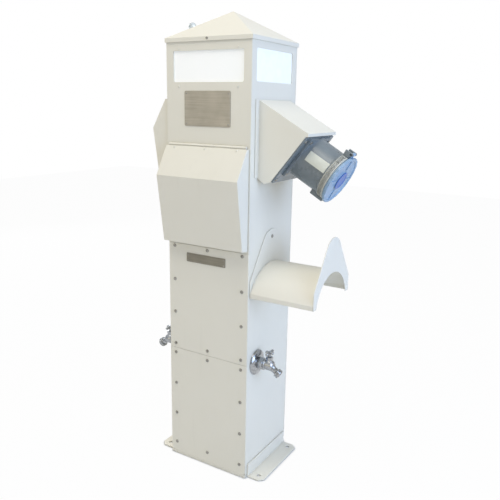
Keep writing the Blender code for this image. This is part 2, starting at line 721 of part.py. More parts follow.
# ---------------------------------------------------------------- breakers
def add_breakers():
    view = face_frame("front")
    wide, low, high = BREAKER_OPENING
    lap = BREAKER_PLATE_LAP
    nose_x, nose_out, nose_z = BREAKER_NOSE
    plate_face = -2 * SHEET - 2 * GAP
    slot = nose_x / 2 + GAP
    loops = [rectangle(-wide - lap, wide + lap, low - lap, high + lap)]
    loops += [rectangle(x - slot, x + slot, BREAKER_Z - nose_z / 2 - GAP, BREAKER_Z + nose_z / 2 + GAP)
              for x in BREAKER_X]
    add_sheet("breaker_plate", loops, plate_face, plate_face - BREAKER_PLATE, "galvanised", view)
    body_face = plate_face - BREAKER_PLATE - GAP
    body_x, body_depth, body_z = BREAKER_BODY
    axis_out = body_face + nose_out
    half = TOGGLE_WIDTH / 2
    for number, x in enumerate(BREAKER_X, start=1):
        body = add_box(f"breaker_{number}", (x - body_x / 2, BREAKER_Z - body_z / 2, body_face - body_depth),
                       (x + body_x / 2, BREAKER_Z + body_z / 2, body_face), "black", view)
        join(body, add_box("nose", (x - nose_x / 2, BREAKER_Z - nose_z / 2, body_face - nose_out / 2),
                           (x + nose_x / 2, BREAKER_Z + nose_z / 2, body_face + nose_out), None, view))
        cut(body, add_rod("toggle_well", TOGGLE_BARREL + GAP, (x - half - GAP, BREAKER_Z, axis_out),
                          (x + half + GAP, BREAKER_Z, axis_out), None, view, 24))
        pivot = view @ Matrix.Translation((x, BREAKER_Z, axis_out))
        toggle = add_rod(f"breaker_toggle_{number}", TOGGLE_BARREL, (-half, 0, 0), (half, 0, 0), "cream",
                         pivot, 24)
        tilt = pivot @ Matrix.Rotation(-TOGGLE_TILT, 4, "X")
        join(toggle, add_box("lever", (-half, -TOGGLE_THICKNESS / 2, 0.0),
                             (half, TOGGLE_THICKNESS / 2, TOGGLE_LENGTH), None, tilt))
    back = body_face - body_depth - GAP
    half_x = POST_WIDTH / 2 - SHEET - GAP
    add_box("breaker_rail", (-half_x, BREAKER_Z - RAIL[1] / 2, back - RAIL[0]),
            (half_x, BREAKER_Z + RAIL[1] / 2, back), "galvanised", view)


# ---------------------------------------------------------------- outlet behind the left cover
def add_left_outlet():
    view = face_frame("left")
    half, low, high = LEFT_OPENING
    lap = LEFT_PLATE_LAP
    centres = [(0.0, LEFT_OUTLET_Z + side * LEFT_OUTLET_PITCH / 2) for side in (-1, 1)]
    loops = [rectangle(-half - lap, half + lap, low - lap, high + lap)]
    loops += [circle(centre, LEFT_OUTLET_FACE + GAP, 24) for centre in centres]
    add_sheet("outlet_plate_left", loops, GAP, GAP + LEFT_PLATE, "galvanised", view)
    wide, deep, tall = LEFT_OUTLET_BODY
    body = add_box("outlet_left", (-wide / 2, LEFT_OUTLET_Z - tall / 2, -deep),
                   (wide / 2, LEFT_OUTLET_Z + tall / 2, 0.0), "cream", view)
    for x, z in centres:
        join(body, add_rod("outlet_face", LEFT_OUTLET_FACE, (x, z, -LEFT_PLATE), (x, z, 2 * LEFT_PLATE), None,
                           view, 24))
    for x, z in centres:
        slot_half, slot_low, slot_high = BLADE_SLOT
        for across in (-BLADE_PITCH / 2, BLADE_PITCH / 2):
            cut(body, add_box("blade_slot", (x + across - slot_half, z + slot_low, -CONTACT_SLOT_DEPTH),
                              (x + across + slot_half, z + slot_high, 2 * SHEET), None, view))
        cut(body, add_rod("earth_hole", EARTH_HOLE, (x, z - EARTH_BELOW, -CONTACT_SLOT_DEPTH),
                          (x, z - EARTH_BELOW, 2 * SHEET), None, view, 8))


# ---------------------------------------------------------------- angled outlet housing
def housing_slope():
    """Angle of the socket face above the horizontal, seen from the side."""
    lip_z = HOUSING_RIDGE[1] - HOUSING_DRIP
    lip_x = HOUSING_RIDGE[0] - HOUSING_DRIP_OVERHANG
    return math.atan2(lip_z - HOUSING_KNEE[1], lip_x - HOUSING_KNEE[0])


def housing_face_length():
    lip = Vector((HOUSING_RIDGE[0] - HOUSING_DRIP_OVERHANG, HOUSING_RIDGE[1] - HOUSING_DRIP))
    return (lip - Vector(HOUSING_KNEE)).length


def socket_up():
    """How far the socket sits above the middle of the angled face, its flange just clear of the ridge."""
    return housing_face_length() / 2 - SOCKET_FLANGE[0] / 2 - SOCKET_FROM_RIDGE


def socket_face_frame():
    """On the housing's angled face: local X across (+Y), local Y up the face, local Z out of it."""
    angle = housing_slope()
    up = Vector((math.cos(angle), 0.0, math.sin(angle)))
    across = Vector((0, 1, 0))
    middle = Vector((POST_WIDTH / 2 + HOUSING_KNEE[0], 0.0, HOUSING_KNEE[1])) + up * housing_face_length() / 2
    return axes_matrix(across, up, across.cross(up), middle)


def socket_frame():
    """Local Z along the socket, outwards from its plate; local X up towards the lid's hinge."""
    face = socket_face_frame()
    axis = Vector((math.cos(SOCKET_TILT), 0.0, -math.sin(SOCKET_TILT)))
    rise = Vector((math.sin(SOCKET_TILT), 0.0, math.cos(SOCKET_TILT)))
    origin = face @ Vector((0.0, socket_up(), GAP + SOCKET_PLATE_SHEET))
    return axes_matrix(rise, axis.cross(rise), axis, origin)


def add_housing():
    ridge_x, ridge_z = HOUSING_RIDGE
    lip_z = ridge_z - HOUSING_DRIP
    profile = [(-HOUSING_SHEET, HOUSING_TOP), (-HOUSING_SHEET, HOUSING_BACK_FOOT), HOUSING_FOOT, HOUSING_KNEE,
               (ridge_x - HOUSING_DRIP_OVERHANG, lip_z), (ridge_x, lip_z), (ridge_x, ridge_z)]
    housing = prism_shell("outlet_housing", profile, (0,), HOUSING_HALF, HOUSING_SHEET, side_view("right"),
                          "white")
    cut(housing, trimming_block("right", GAP + HOUSING_FLANGE_SHEET / 4))
    outer = HOUSING_HALF + HOUSING_FLANGE
    overlap = HOUSING_SHEET / 2
    for side in (-1, 1):
        inner_y, outer_y = sorted((side * (HOUSING_HALF - overlap), side * outer))
        join(housing, add_box("flange", (inner_y, HOUSING_BACK_FOOT + overlap, GAP),
                              (outer_y, HOUSING_TOP - overlap, GAP + HOUSING_FLANGE_SHEET), None,
                              face_frame("right")))
    face = socket_face_frame()
    deep = 3 * HOUSING_SHEET
    up = socket_up()
    cut(housing, add_rod("socket_hole", SOCKET_CLEARANCE_HOLE, (0, up, -deep), (0, up, deep), None, face, 24))


def add_socket_plate():
    face = socket_face_frame()
    half_x = HOUSING_HALF - SOCKET_PLATE_EDGE
    half_y = housing_face_length() / 2 - SOCKET_PLATE_EDGE
    loops = [rounded_rectangle(-half_x, half_x, -half_y, half_y, SOCKET_PLATE_SHEET, SOCKET_PLATE_SHEET),
             circle((0.0, socket_up()), SOCKET_CLEARANCE_HOLE, 24)]
    add_sheet("socket_plate", loops, GAP, GAP + SOCKET_PLATE_SHEET, "blue_grey", face)


# ---------------------------------------------------------------- socket
def add_socket():
    frame = socket_frame()
    behind = SOCKET_BEHIND
    profile = [(SOCKET_BORE, SOCKET_MOUTH), (SOCKET_COLLAR, SOCKET_MOUTH), (SOCKET_COLLAR, SOCKET_SHOULDER),
               (SOCKET_BODY, SOCKET_SHOULDER - OVERLAP), (SOCKET_BODY, -behind * 2), (0.0, -behind * 2),
               (0.0, SOCKET_FLOOR), (SOCKET_BORE, SOCKET_FLOOR), (SOCKET_BORE, SOCKET_MOUTH)]
    body = add_turned("socket_body", profile[:-1] + [profile[0]], "blue_grey", frame, 32)
    face = socket_face_frame() @ Matrix.Translation((0, socket_up(), GAP + SOCKET_PLATE_SHEET))
    half, rise = SOCKET_FLANGE[0] / 2, SOCKET_FLANGE[1]
    join(body, add_box("flange", (-half, -half, 0.0), (half, half, rise), None, face))
    cut(body, add_box("behind_plate", (-2 * half, -2 * half, -4 * behind), (2 * half, 2 * half, GAP), None,
                      face))
    cut(body, add_rod("bore", SOCKET_BORE, (0, 0, SOCKET_FLOOR), (0, 0, SOCKET_MOUTH + rise), None, frame,
                      32))
    pin_s = SOCKET_MOUTH + GAP + LID_SHEET / 2
    ear_near = LID_TONGUE_HALF + GAP
    for side in (-1, 1):
        low, high = sorted((side * ear_near, side * (ear_near + LID_EAR)))
        join(body, add_box("ear", (SOCKET_COLLAR - 2 * OVERLAP, low, SOCKET_MOUTH - LID_EAR_LENGTH),
                           (LID_PIN_RISE + LID_KNUCKLE, high, SOCKET_MOUTH), None, frame),
             add_rod("ear_eye", LID_KNUCKLE, (LID_PIN_RISE, low, pin_s), (LID_PIN_RISE, high, pin_s), None,
                     frame, 16))
    span = ear_near + LID_EAR
    cut(body, add_rod("pin_hole", LID_PIN + GAP, (LID_PIN_RISE, -span - GAP, pin_s),
                      (LID_PIN_RISE, span + GAP, pin_s), None, frame))
    add_rod("lid_hinge_pin", LID_PIN, (LID_PIN_RISE, -span, pin_s), (LID_PIN_RISE, span, pin_s), "chrome",
            frame)
    add_contacts(frame)
    add_lid(frame, pin_s)
    add_socket_label(frame)


def add_contacts(frame):
    base = SOCKET_FLOOR + GAP
    carrier = add_turned("contact_carrier", [(0.0, CARRIER_TOP), (SOCKET_BORE - GAP, CARRIER_TOP),
                                             (SOCKET_BORE - GAP, base), (0.0, base)], "black", frame, 32)
    start = CARRIER_TOP - CONTACT_LENGTH
    for index in range(CONTACT_COUNT):
        angle = math.tau * (index + 0.5) / CONTACT_COUNT
        x, y = CONTACT_CIRCLE * math.cos(angle), CONTACT_CIRCLE * math.sin(angle)
        cut(carrier, add_rod("contact_hole", CONTACT_RADIUS, (x, y, start), (x, y, CARRIER_TOP + start), None,
                             frame, 10))


def add_lid(frame, pin_s):
    """The lid swings on the pin; a locking ring turns on the boss in its middle."""
    base = SOCKET_MOUTH + GAP
    ring_base = base + LID_SHEET + GAP
    boss_top = ring_base + LOCK_RING_SHEET + GAP
    boss = LOCK_RING_BORE - GAP
    profile = [(0.0, boss_top + LID_BOSS_CAP_SHEET), (LID_BOSS_CAP, boss_top + LID_BOSS_CAP_SHEET),
               (LID_BOSS_CAP, boss_top), (boss, boss_top), (boss, base + LID_SHEET),
               (LID_RADIUS, base + LID_SHEET),
               (LID_RADIUS, base), (0.0, base)]
    lid = add_turned("socket_lid", profile, "blue", frame, 32)
    join(lid, add_box("tongue", (LID_RADIUS - 3 * OVERLAP, -LID_TONGUE_HALF, base),
                      (LID_PIN_RISE, LID_TONGUE_HALF, base + LID_SHEET), None, frame),
         add_rod("knuckle", LID_KNUCKLE, (LID_PIN_RISE, -LID_TONGUE_HALF, pin_s),
                 (LID_PIN_RISE, LID_TONGUE_HALF, pin_s), None, frame))
    cut(lid, add_rod("knuckle_bore", LID_PIN + GAP, (LID_PIN_RISE, -2 * LID_TONGUE_HALF, pin_s),
                     (LID_PIN_RISE, 2 * LID_TONGUE_HALF, pin_s), None, frame))
    ring = tube_profile(LOCK_RING_BORE, LOCK_RING, ring_base, ring_base + LOCK_RING_SHEET)
    add_turned("lid_locking_ring", ring, "blue", frame, 32)


def add_socket_label(frame):
    near, far = SOCKET_BODY + GAP, SOCKET_BODY + GAP + LABEL_SHEET
    spread = LABEL_WIDTH / 2 / SOCKET_BODY
    band = (arc((0, 0), far, LABEL_TURN - spread, LABEL_TURN + spread, 8)
            + arc((0, 0), near, LABEL_TURN + spread, LABEL_TURN - spread, 8))
    start = LABEL_START + SOCKET_FLANGE[1]
    end = SOCKET_SHOULDER - OVERLAP - LABEL_FROM_COLLAR
    add_sheet("socket_label", [band], start, end, "cream", frame)


# ---------------------------------------------------------------- hose rack
def rack_circle():
    """Radius and centre height of the saddle's outer arc, from its top and the top of its hem."""
    drop = RACK_TOP - (RACK_EDGE + RACK_HEM)
    radius = (RACK_HALF ** 2 + drop ** 2) / (2 * drop)
    return radius, RACK_TOP - radius


def flange_outline():
    """Upright sides, sloping shoulders and a round nose that the shoulders run into."""
    nose_centre = Vector((0.0, RACK_FLANGE_APEX - RACK_FLANGE_NOSE))
    shoulder = Vector((RACK_HALF, RACK_FLANGE_SHOULDER)) - nose_centre
    normal_angle = math.atan2(shoulder.y, shoulder.x) + math.acos(RACK_FLANGE_NOSE / shoulder.length)
    nose = arc(nose_centre, RACK_FLANGE_NOSE, normal_angle, math.pi - normal_angle, 10)
    return [(-RACK_HALF, RACK_EDGE), (RACK_HALF, RACK_EDGE), (RACK_HALF, RACK_FLANGE_SHOULDER)] + nose + [
        (-RACK_HALF, RACK_FLANGE_SHOULDER)]


def add_hose_rack():
    view = face_frame("right")
    radius, centre = rack_circle()
    inner = radius - RACK_SHEET
    half_angle = math.asin(RACK_HALF / radius)
    low_angle, high_angle = math.pi / 2 - half_angle, math.pi / 2 + half_angle
    inner_half = RACK_HALF - RACK_SHEET
    inner_angle = math.asin(inner_half / inner)
    band = ([(RACK_HALF, RACK_EDGE)] + arc((0, centre), radius, low_angle, high_angle, 20)
            + [(-RACK_HALF, RACK_EDGE), (-inner_half, RACK_EDGE)]
            + arc((0, centre), inner, math.pi / 2 + inner_angle, math.pi / 2 - inner_angle, 20)
            + [(inner_half, RACK_EDGE)])
    start = GAP + RACK_SHEET + GAP
    end = start + RACK_LENGTH
    add_sheet("hose_rack_saddle", [band], start, end, "white", view)
    add_sheet("hose_rack_inner_flange", [flange_outline()], GAP, GAP + RACK_SHEET, "white", view)
    outline = flange_outline()
    arch_centre = RACK_TOP - RACK_SHEET - RACK_ARCH_BELOW - RACK_ARCH
    foot_angle = math.asin((RACK_EDGE - arch_centre) / RACK_ARCH)
    arch = arc((0.0, arch_centre), RACK_ARCH, math.pi - foot_angle, foot_angle, 20)
    loop = [outline[0]] + arch + outline[1:]
    add_sheet("hose_rack_outer_flange", [loop], end + GAP, end + GAP + RACK_SHEET, "white", view)


# ---------------------------------------------------------------- taps and riser
def add_tap(side_name, turn):
    """Inlet, hex, barrel, bonnet and spout in one casting, and the handle that turns on the bonnet."""
    place = tap_place(side_name, turn)
    body = add_rod(f"tap_body_{side_name}", TAP_PIPE, (-TAP_INLET, 0, 0), (TAP_BODY_END - 2 * OVERLAP, 0, 0),
                   "chrome", place, 16)
    hex_end = TAP_HEX_FROM + TAP_HEX_LENGTH
    hex_nut = add_rod("hex", TAP_HEX, (TAP_HEX_FROM, 0, 0), (hex_end, 0, 0), None, place, 6)
    barrel = add_rod("barrel", TAP_BODY, (hex_end - OVERLAP, 0, 0), (TAP_BODY_END, 0, 0), None, place, 16)
    bonnet = add_rod("bonnet", TAP_BONNET_RADIUS, (TAP_BONNET_OUT, 0, 0), (TAP_BONNET_OUT, 0, TAP_BONNET_TOP),
                     None, place, 12)
    spout_start = Vector((TAP_BODY_END - TAP_SPOUT_BACK, 0, -TAP_SPOUT_LOW))
    aim = Vector((math.cos(TAP_SPOUT_DROP), 0, -math.sin(TAP_SPOUT_DROP)))
    tip = spout_start + aim * TAP_SPOUT_LENGTH
    spout = add_rod("spout", TAP_SPOUT_RADIUS, spout_start, tip - aim * OVERLAP, None, place, 16)
    nozzle = add_rod("nozzle", TAP_NOZZLE, tip - aim * TAP_NOZZLE_LENGTH, tip, None, place, 16)
    join(body, hex_nut, barrel, bonnet, spout, nozzle)
    water = aim * TAP_WATER_WAY
    cut(body, add_rod("water_way", TAP_SPOUT_BORE, tip - water, tip + water, None, place, 12))
    pivot = place @ Matrix.Translation((TAP_BONNET_OUT, 0, 0))
    handle = add_rod(f"tap_handle_{side_name}", TAP_HANDLE_BAR, (0, -TAP_HANDLE_LENGTH / 2, TAP_HANDLE_UP),
                     (0, TAP_HANDLE_LENGTH / 2, TAP_HANDLE_UP), "chrome", pivot, 12)
    join(handle, add_rod("stem", TAP_STEM, (0, 0, TAP_BONNET_TOP + GAP), (0, 0, TAP_HANDLE_UP), None, pivot,
                         12))


def tap_place(side_name, turn):
    across = TAP_Y if side_name == "right" else -TAP_Y
    return turn @ Matrix.Translation((POST_WIDTH / 2, across, TAP_Z))


def add_taps():
    """The same tap on each side; the left one is turned half round about the post."""
    bore = TAP_PIPE + GAP
    bell = [(bore, TAP_BELL_DEPTH), (TAP_HEX, TAP_BELL_DEPTH), (0.72 * TAP_BELL, 0.62 * TAP_BELL_DEPTH),
            (TAP_BELL, 0.2 * TAP_BELL_DEPTH), (TAP_BELL, GAP), (bore, GAP), (bore, TAP_BELL_DEPTH)]
    for side_name, turn in (("right", Matrix()), ("left", Matrix.Rotation(math.pi, 4, "Z"))):
        add_tap(side_name, turn)
        along = tap_place(side_name, turn) @ Matrix.Rotation(math.pi / 2, 4, "Y")
        add_turned(f"tap_bell_{side_name}", bell, "chrome", along, 24)


def add_water_riser():
    """A riser from the floor with a tee; each end has a coupling that takes a tap's inlet."""
    reach = POST_WIDTH / 2 - TAP_INLET - GAP
    riser = add_rod("water_riser", TAP_PIPE, (0, TAP_Y, 0), (0, TAP_Y, TAP_Z), "copper", steps=16)
    join(riser, add_rod("cross", TAP_PIPE, (-reach, TAP_Y, TAP_Z), (reach, TAP_Y, TAP_Z), None, steps=16))
    for side in (-1, 1):
        middle = side * reach
        join(riser, add_rod("coupling", PIPE_COUPLING, (middle - PIPE_COUPLING_LENGTH / 2, TAP_Y, TAP_Z),
                            (middle + PIPE_COUPLING_LENGTH / 2, TAP_Y, TAP_Z), None, steps=16))
    for side in (-1, 1):
        cut(riser, add_rod("coupling_bore", TAP_PIPE + GAP, (side * reach, TAP_Y, TAP_Z),
                           (side * (reach + PIPE_COUPLING_LENGTH), TAP_Y, TAP_Z), None, steps=16))


def add_terminal_block():
    wide, deep, tall = TERMINAL_BLOCK
    foot = BASE_PLATE + GAP
    low = (-wide / 2, TERMINAL_Y - deep / 2, foot)
    block = add_box("terminal_block", low, (wide / 2, TERMINAL_Y + deep / 2, foot + tall), "black")
    pitch = wide / TERMINAL_WAYS
    for index in range(TERMINAL_WAYS):
        x = -wide / 2 + pitch * (index + 0.5)
        cut(block, add_box("way", (x - 0.38 * pitch, TERMINAL_Y - deep, foot + 0.5 * tall),
                           (x + 0.38 * pitch, TERMINAL_Y + deep, foot + 2 * tall), None))


# ---------------------------------------------------------------- assembly
for old in list(bpy.data.objects):
    bpy.data.objects.remove(old)
parts = bpy.data.collections.new("service_pedestal")
cutters = bpy.data.collections.new("cutters")
for group in (parts, cutters):
    bpy.context.scene.collection.children.link(group)

add_base()
add_side_channels()
add_head_sheets()
add_access_panels()
add_cross_rails()
add_lenses()
add_roof_cap()
add_photocell()
add_lamp()
add_wall_plates()
add_cover("front", "front", FRONT_COVER_TOP, FRONT_COVER_HALF)
add_cover("left", "left", LEFT_COVER_TOP, LEFT_COVER_HALF)
add_breakers()
add_left_outlet()
add_housing()
add_socket_plate()
add_socket()
add_hose_rack()
add_taps()
add_water_riser()
add_terminal_block()
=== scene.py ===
"""The finish of a power and water service pedestal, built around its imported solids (metres, +Z up)."""
import json
import math

import bmesh
import bpy
import numpy as np
from mathutils import Matrix, Vector


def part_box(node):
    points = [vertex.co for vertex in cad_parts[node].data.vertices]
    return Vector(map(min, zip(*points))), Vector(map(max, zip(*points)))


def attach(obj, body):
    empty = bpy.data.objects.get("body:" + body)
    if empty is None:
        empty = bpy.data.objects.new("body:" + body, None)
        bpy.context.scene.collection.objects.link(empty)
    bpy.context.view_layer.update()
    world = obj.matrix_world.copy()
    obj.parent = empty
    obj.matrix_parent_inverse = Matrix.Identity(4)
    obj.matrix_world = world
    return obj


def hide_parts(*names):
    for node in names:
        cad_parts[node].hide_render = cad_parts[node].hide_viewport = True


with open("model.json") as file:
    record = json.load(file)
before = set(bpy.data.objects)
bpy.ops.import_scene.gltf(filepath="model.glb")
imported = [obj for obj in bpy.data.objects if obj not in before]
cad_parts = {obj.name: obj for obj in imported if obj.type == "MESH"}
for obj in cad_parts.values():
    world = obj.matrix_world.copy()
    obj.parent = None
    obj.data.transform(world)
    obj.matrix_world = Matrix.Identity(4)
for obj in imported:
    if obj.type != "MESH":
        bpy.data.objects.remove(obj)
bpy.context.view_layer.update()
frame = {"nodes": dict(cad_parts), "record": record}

# ------------------------------------------------------------------ Stage
# Not part of the object: a studio camera at chest height to the right of the post, a pale floor that keeps
# only a soft shadow, and large soft lamps aimed at the middle of the post. Glossy metal mirrors the bands of
# the surround. The floor's own light fades in narrow gaps, such as the anchor holes and under the angles.
CAMERA_PLACE = (0.8703, -1.3378, 1.0030)
CAMERA_LENS_MM = 42.34
CAMERA_AXES = ((0.85346, 0.52086, 0.01768), (-0.13867, 0.19427, 0.97110), (-0.50237, 0.83124, -0.23802))
SURROUND_LIGHT = 0.46
FLOOR_HALF = 6.0
FLOOR_DOWN = 0.0005
FLOOR_GLOW = 0.97
FLOOR_HOLE_REACH = 0.007
FLOOR_HOLE_DARK, FLOOR_HOLE_OPEN = 0.62, 0.97
LAMP_AIM = Vector((0.0, 0.0, 0.62))
SURROUND_BANDS = ((0.0, "#75787C"), (0.40, "#B4B5B5"), (0.48, "#43474D"), (0.56, "#D3D7DB"), (1.0, "#E6E8EA"))
LAMPS = (
    ("soft_key", (3.0, -0.5, 1.3), (2.2, 2.2), 67.0, "#BFD7FF"),
    ("soft_fill", (-1.1, -3.0, 1.3), (2.2, 2.2), 11.0, "#FFEDC4"),
    ("soft_top", (0.1, -1.1, 3.4), (1.6, 1.6), 43.0, "#FFFAEE"),
    ("soft_back", (-2.9, 1.6, 1.6), (2.2, 2.2), 34.0, "#FFFFFF"),
)


def linear(colour):
    """An sRGB hex colour as linear red, green, blue and alpha."""
    parts = [int(colour[i:i + 2], 16) / 255 for i in (1, 3, 5)]
    return tuple(c / 12.92 if c <= 0.04045 else ((c + 0.055) / 1.055) ** 2.4 for c in parts) + (1.0,)


def add_node(tree, kind, settings=None, **sockets):
    """One shader node with its settings. Each socket, by name or by place as i0, i1 and so on, is given a
    value, an output socket, or another node, which stands for its first output."""
    node = tree.nodes.new("ShaderNode" + kind)
    for name, value in (settings or {}).items():
        setattr(node, name, value)
    for name, value in sockets.items():
        place = int(name[1:]) if name[0] == "i" and name[1:].isdigit() else name.replace("_", " ")
        value = value.outputs[0] if isinstance(value, bpy.types.Node) else value
        if isinstance(value, bpy.types.NodeSocket):
            tree.links.new(value, node.inputs[place])
        else:
            node.inputs[place].default_value = value
    return node


def set_ramp(node, stops):
    """Fills a colour ramp from (position, hex colour) pairs."""
    elements = node.color_ramp.elements
    while len(elements) < len(stops):
        elements.new(0.5)
    for element, (position, colour) in zip(elements, stops):
        element.position = position
        element.color = linear(colour)
    return node


def new_material(name):
    """A material whose node tree is still empty, and that tree."""
    material = bpy.data.materials.new(name)
    material.use_nodes = True
    tree = material.node_tree
    tree.nodes.clear()
    return material, tree


def finish_material(material, shader):
    """Joins a shader to the material's surface, and hands the material on."""
    add_node(material.node_tree, "OutputMaterial", Surface=shader)
    return material


def seen_directly(tree):
    """1 for rays that show the surround itself, from the camera, in a mirror or through glass, and the
    light path that it was read from."""
    path = add_node(tree, "LightPath")
    mirrored = add_node(tree, "Math", {"operation": "MAXIMUM"}, i0=path.outputs["Is Camera Ray"],
                        i1=path.outputs["Is Glossy Ray"])
    direct = add_node(tree, "Math", {"operation": "MAXIMUM"}, i0=mirrored,
                      i1=path.outputs["Is Transmission Ray"])
    return direct, path


scene = bpy.context.scene
scene.view_settings.view_transform = "Standard"
camera = bpy.data.objects.new("camera", bpy.data.cameras.new("camera"))
camera.data.lens = CAMERA_LENS_MM
camera.location = CAMERA_PLACE
right, up, forward = (Vector(axis) for axis in CAMERA_AXES)
camera.rotation_euler = Matrix((right, up, -forward)).transposed().to_euler()
scene.collection.objects.link(camera)
scene.camera = camera
for name, place, size, energy, colour in LAMPS:
    light = bpy.data.lights.new(name, "AREA")
    light.shape = "RECTANGLE"
    light.size, light.size_y = size
    light.energy = energy
    light.color = linear(colour)[:3]
    lamp = bpy.data.objects.new(name, light)
    lamp.location = place
    lamp.rotation_euler = (LAMP_AIM - Vector(place)).to_track_quat("-Z", "Y").to_euler()
    scene.collection.objects.link(lamp)

world = bpy.data.worlds.new("surround")
world.use_nodes = True
tree = world.node_tree
tree.nodes.clear()
direct, path = seen_directly(tree)
coords = add_node(tree, "TexCoord")
split = add_node(tree, "SeparateXYZ", Vector=coords.outputs["Generated"])
height = add_node(tree, "MapRange", Value=split.outputs["Z"], From_Min=-1.0, From_Max=1.0)
bands = set_ramp(add_node(tree, "ValToRGB", Fac=height), SURROUND_BANDS)
mirror = add_node(tree, "Mix", {"data_type": "RGBA"}, Factor=path.outputs["Is Glossy Ray"],
                  i6=linear("#FFFFFF"), i7=bands)
colour = add_node(tree, "Mix", {"data_type": "RGBA"}, Factor=direct, i6=linear("#F6F8FB"),
                  i7=mirror.outputs[2])
strength = add_node(tree, "MapRange", Value=direct, To_Min=SURROUND_LIGHT, To_Max=1.0)
background = add_node(tree, "Background", Color=colour.outputs[2], Strength=strength)
add_node(tree, "OutputWorld", Surface=background)
scene.world = world

corners = [(x * FLOOR_HALF, y * FLOOR_HALF, -FLOOR_DOWN) for x, y in ((-1, -1), (1, -1), (1, 1), (-1, 1))]
mesh = bpy.data.meshes.new("floor")
mesh.from_pydata(corners, [], [(0, 1, 2, 3)])
floor = bpy.data.objects.new("floor", mesh)
scene.collection.objects.link(floor)
material, tree = new_material("pale_floor")
direct, path = seen_directly(tree)
paint = add_node(tree, "BsdfDiffuse", Color=linear("#D6D7D7"))
glow = add_node(tree, "Emission", Color=linear("#FFFFFF"), Strength=1.0)
open_air = add_node(tree, "AmbientOcclusion", Distance=FLOOR_HOLE_REACH)
glowing = add_node(tree, "MapRange", Value=open_air.outputs["AO"], From_Min=FLOOR_HOLE_DARK,
                   From_Max=FLOOR_HOLE_OPEN, To_Max=FLOOR_GLOW)
share = add_node(tree, "Math", {"operation": "MULTIPLY"}, i0=direct, i1=glowing)
mix = add_node(tree, "MixShader", Fac=share, i1=paint, i2=glow)
mesh.materials.append(finish_material(material, mix))


# ------------------------------------------------------------------ Folded sheet metal
# The post, cap, covers, housing and hose rack are aluminium sheet, cut, folded, welded at the corners and
# powder coated. Baking leaves a semi-gloss skin with faint orange peel and soft edges. In use it gains thin
# run marks below the joints, and painted shade greys the corners.
PEEL_MM = 2.2
RUN_MARK_MM = 14.0
# Painted shade: corners and recesses are greyed within this reach by an ambient-occlusion mask. The same grey
# also tints the rain runs.
CORNER_SHADE_REACH = 0.010
RUNS_AND_SHADE_GREY = "#8E8B80"
FOLD_RADIUS = 0.0007


def powder_coat(name, colour, shade, roughness, grime=0.05):
    """Baked polyester powder on aluminium: IOR 1.5, orange peel about 2 mm across, a slow drift of colour
    from weather, painted shade that greys the corners and faint rain runs drawn out along the height."""
    material, tree = new_material(name)
    coords = add_node(tree, "TexCoord").outputs["Object"]
    peel = add_node(tree, "TexNoise", Vector=coords, Scale=1000.0 / PEEL_MM, Detail=2.0)
    cloud = add_node(tree, "TexNoise", Vector=coords, Scale=6.0, Detail=4.0, Roughness=0.6)
    stretch = add_node(tree, "Mapping", Vector=coords, Scale=(1.0, 1.0, 0.06))
    runs = add_node(tree, "TexNoise", Vector=stretch, Scale=1000.0 / RUN_MARK_MM,
                    Detail=3.0, Roughness=0.55)
    run_mask = add_node(tree, "MapRange", Value=runs, From_Min=0.60, From_Max=0.85, To_Max=grime)
    cloud_mask = add_node(tree, "MapRange", Value=cloud, From_Min=0.35, From_Max=0.75, To_Max=0.35)
    # Painted shade: the ambient-occlusion mask greys the coat in corners and recesses, where light is
    # blocked.
    corner = add_node(tree, "AmbientOcclusion", {"samples": 6}, Distance=CORNER_SHADE_REACH)
    dust = add_node(tree, "MapRange", Value=corner.outputs["AO"], From_Min=0.35, From_Max=0.95,
                    To_Min=0.22, To_Max=0.0)
    runs_and_corner_shade = add_node(tree, "Math", {"operation": "MAXIMUM"}, i0=run_mask, i1=dust)
    base = add_node(tree, "Mix", {"data_type": "RGBA"}, Factor=cloud_mask, i6=linear(colour),
                    i7=linear(shade))
    run_stained_and_shaded = add_node(tree, "Mix", {"data_type": "RGBA"}, Factor=runs_and_corner_shade, i6=base.outputs[2],
                      i7=linear(RUNS_AND_SHADE_GREY))
    gloss = add_node(tree, "MapRange", Value=cloud, To_Min=roughness - 0.04, To_Max=roughness + 0.08)
    bump = add_node(tree, "Bump", Strength=0.10, Distance=0.0002, Height=peel)
    shader = add_node(tree, "BsdfPrincipled", Base_Color=run_stained_and_shaded.outputs[2],
                      Roughness=gloss, IOR=1.5, Normal=bump)
    return finish_material(material, shader)


COAT_WHITE = powder_coat("powder_coat_white", "#E6E3D7", "#DFDCCF", 0.42)


def body_of(node):
    """The name of the body that a solid belongs to."""
    return next(name for name, nodes in frame["record"]["behaviour"]["bodies"].items() if node in nodes)


def merged_copy(node, name, width, material, segments=2, sharp=30.0):
    """A copy of a solid's mesh with its doubles merged, its flat triangles dissolved, and each edge that
    turns more than `sharp` degrees rounded over `width`; it stands in for that solid."""
    source = frame["nodes"][node]
    bm = bmesh.new()
    bm.from_mesh(source.data)
    bmesh.ops.remove_doubles(bm, verts=bm.verts, dist=0.00002)
    bmesh.ops.dissolve_limit(bm, angle_limit=math.radians(0.5), verts=bm.verts, edges=bm.edges)
    mesh = bpy.data.meshes.new(name)
    bm.to_mesh(mesh)
    bm.free()
    mesh.materials.clear()
    mesh.materials.append(material)
    mesh.polygons.foreach_set("material_index", [0] * len(mesh.polygons))
    piece = bpy.data.objects.new(name, mesh)
    bpy.context.scene.collection.objects.link(piece)
    bevel = piece.modifiers.new("Bevel", "BEVEL")
    bevel.width = width
    bevel.segments = segments
    bevel.limit_method = "ANGLE"
    bevel.angle_limit = math.radians(sharp)
    bevel.harden_normals = False
    mesh.shade_smooth()
    mesh.set_sharp_from_angle(angle=math.radians(sharp))
    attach(piece, body_of(node))
    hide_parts(node)
    return piece


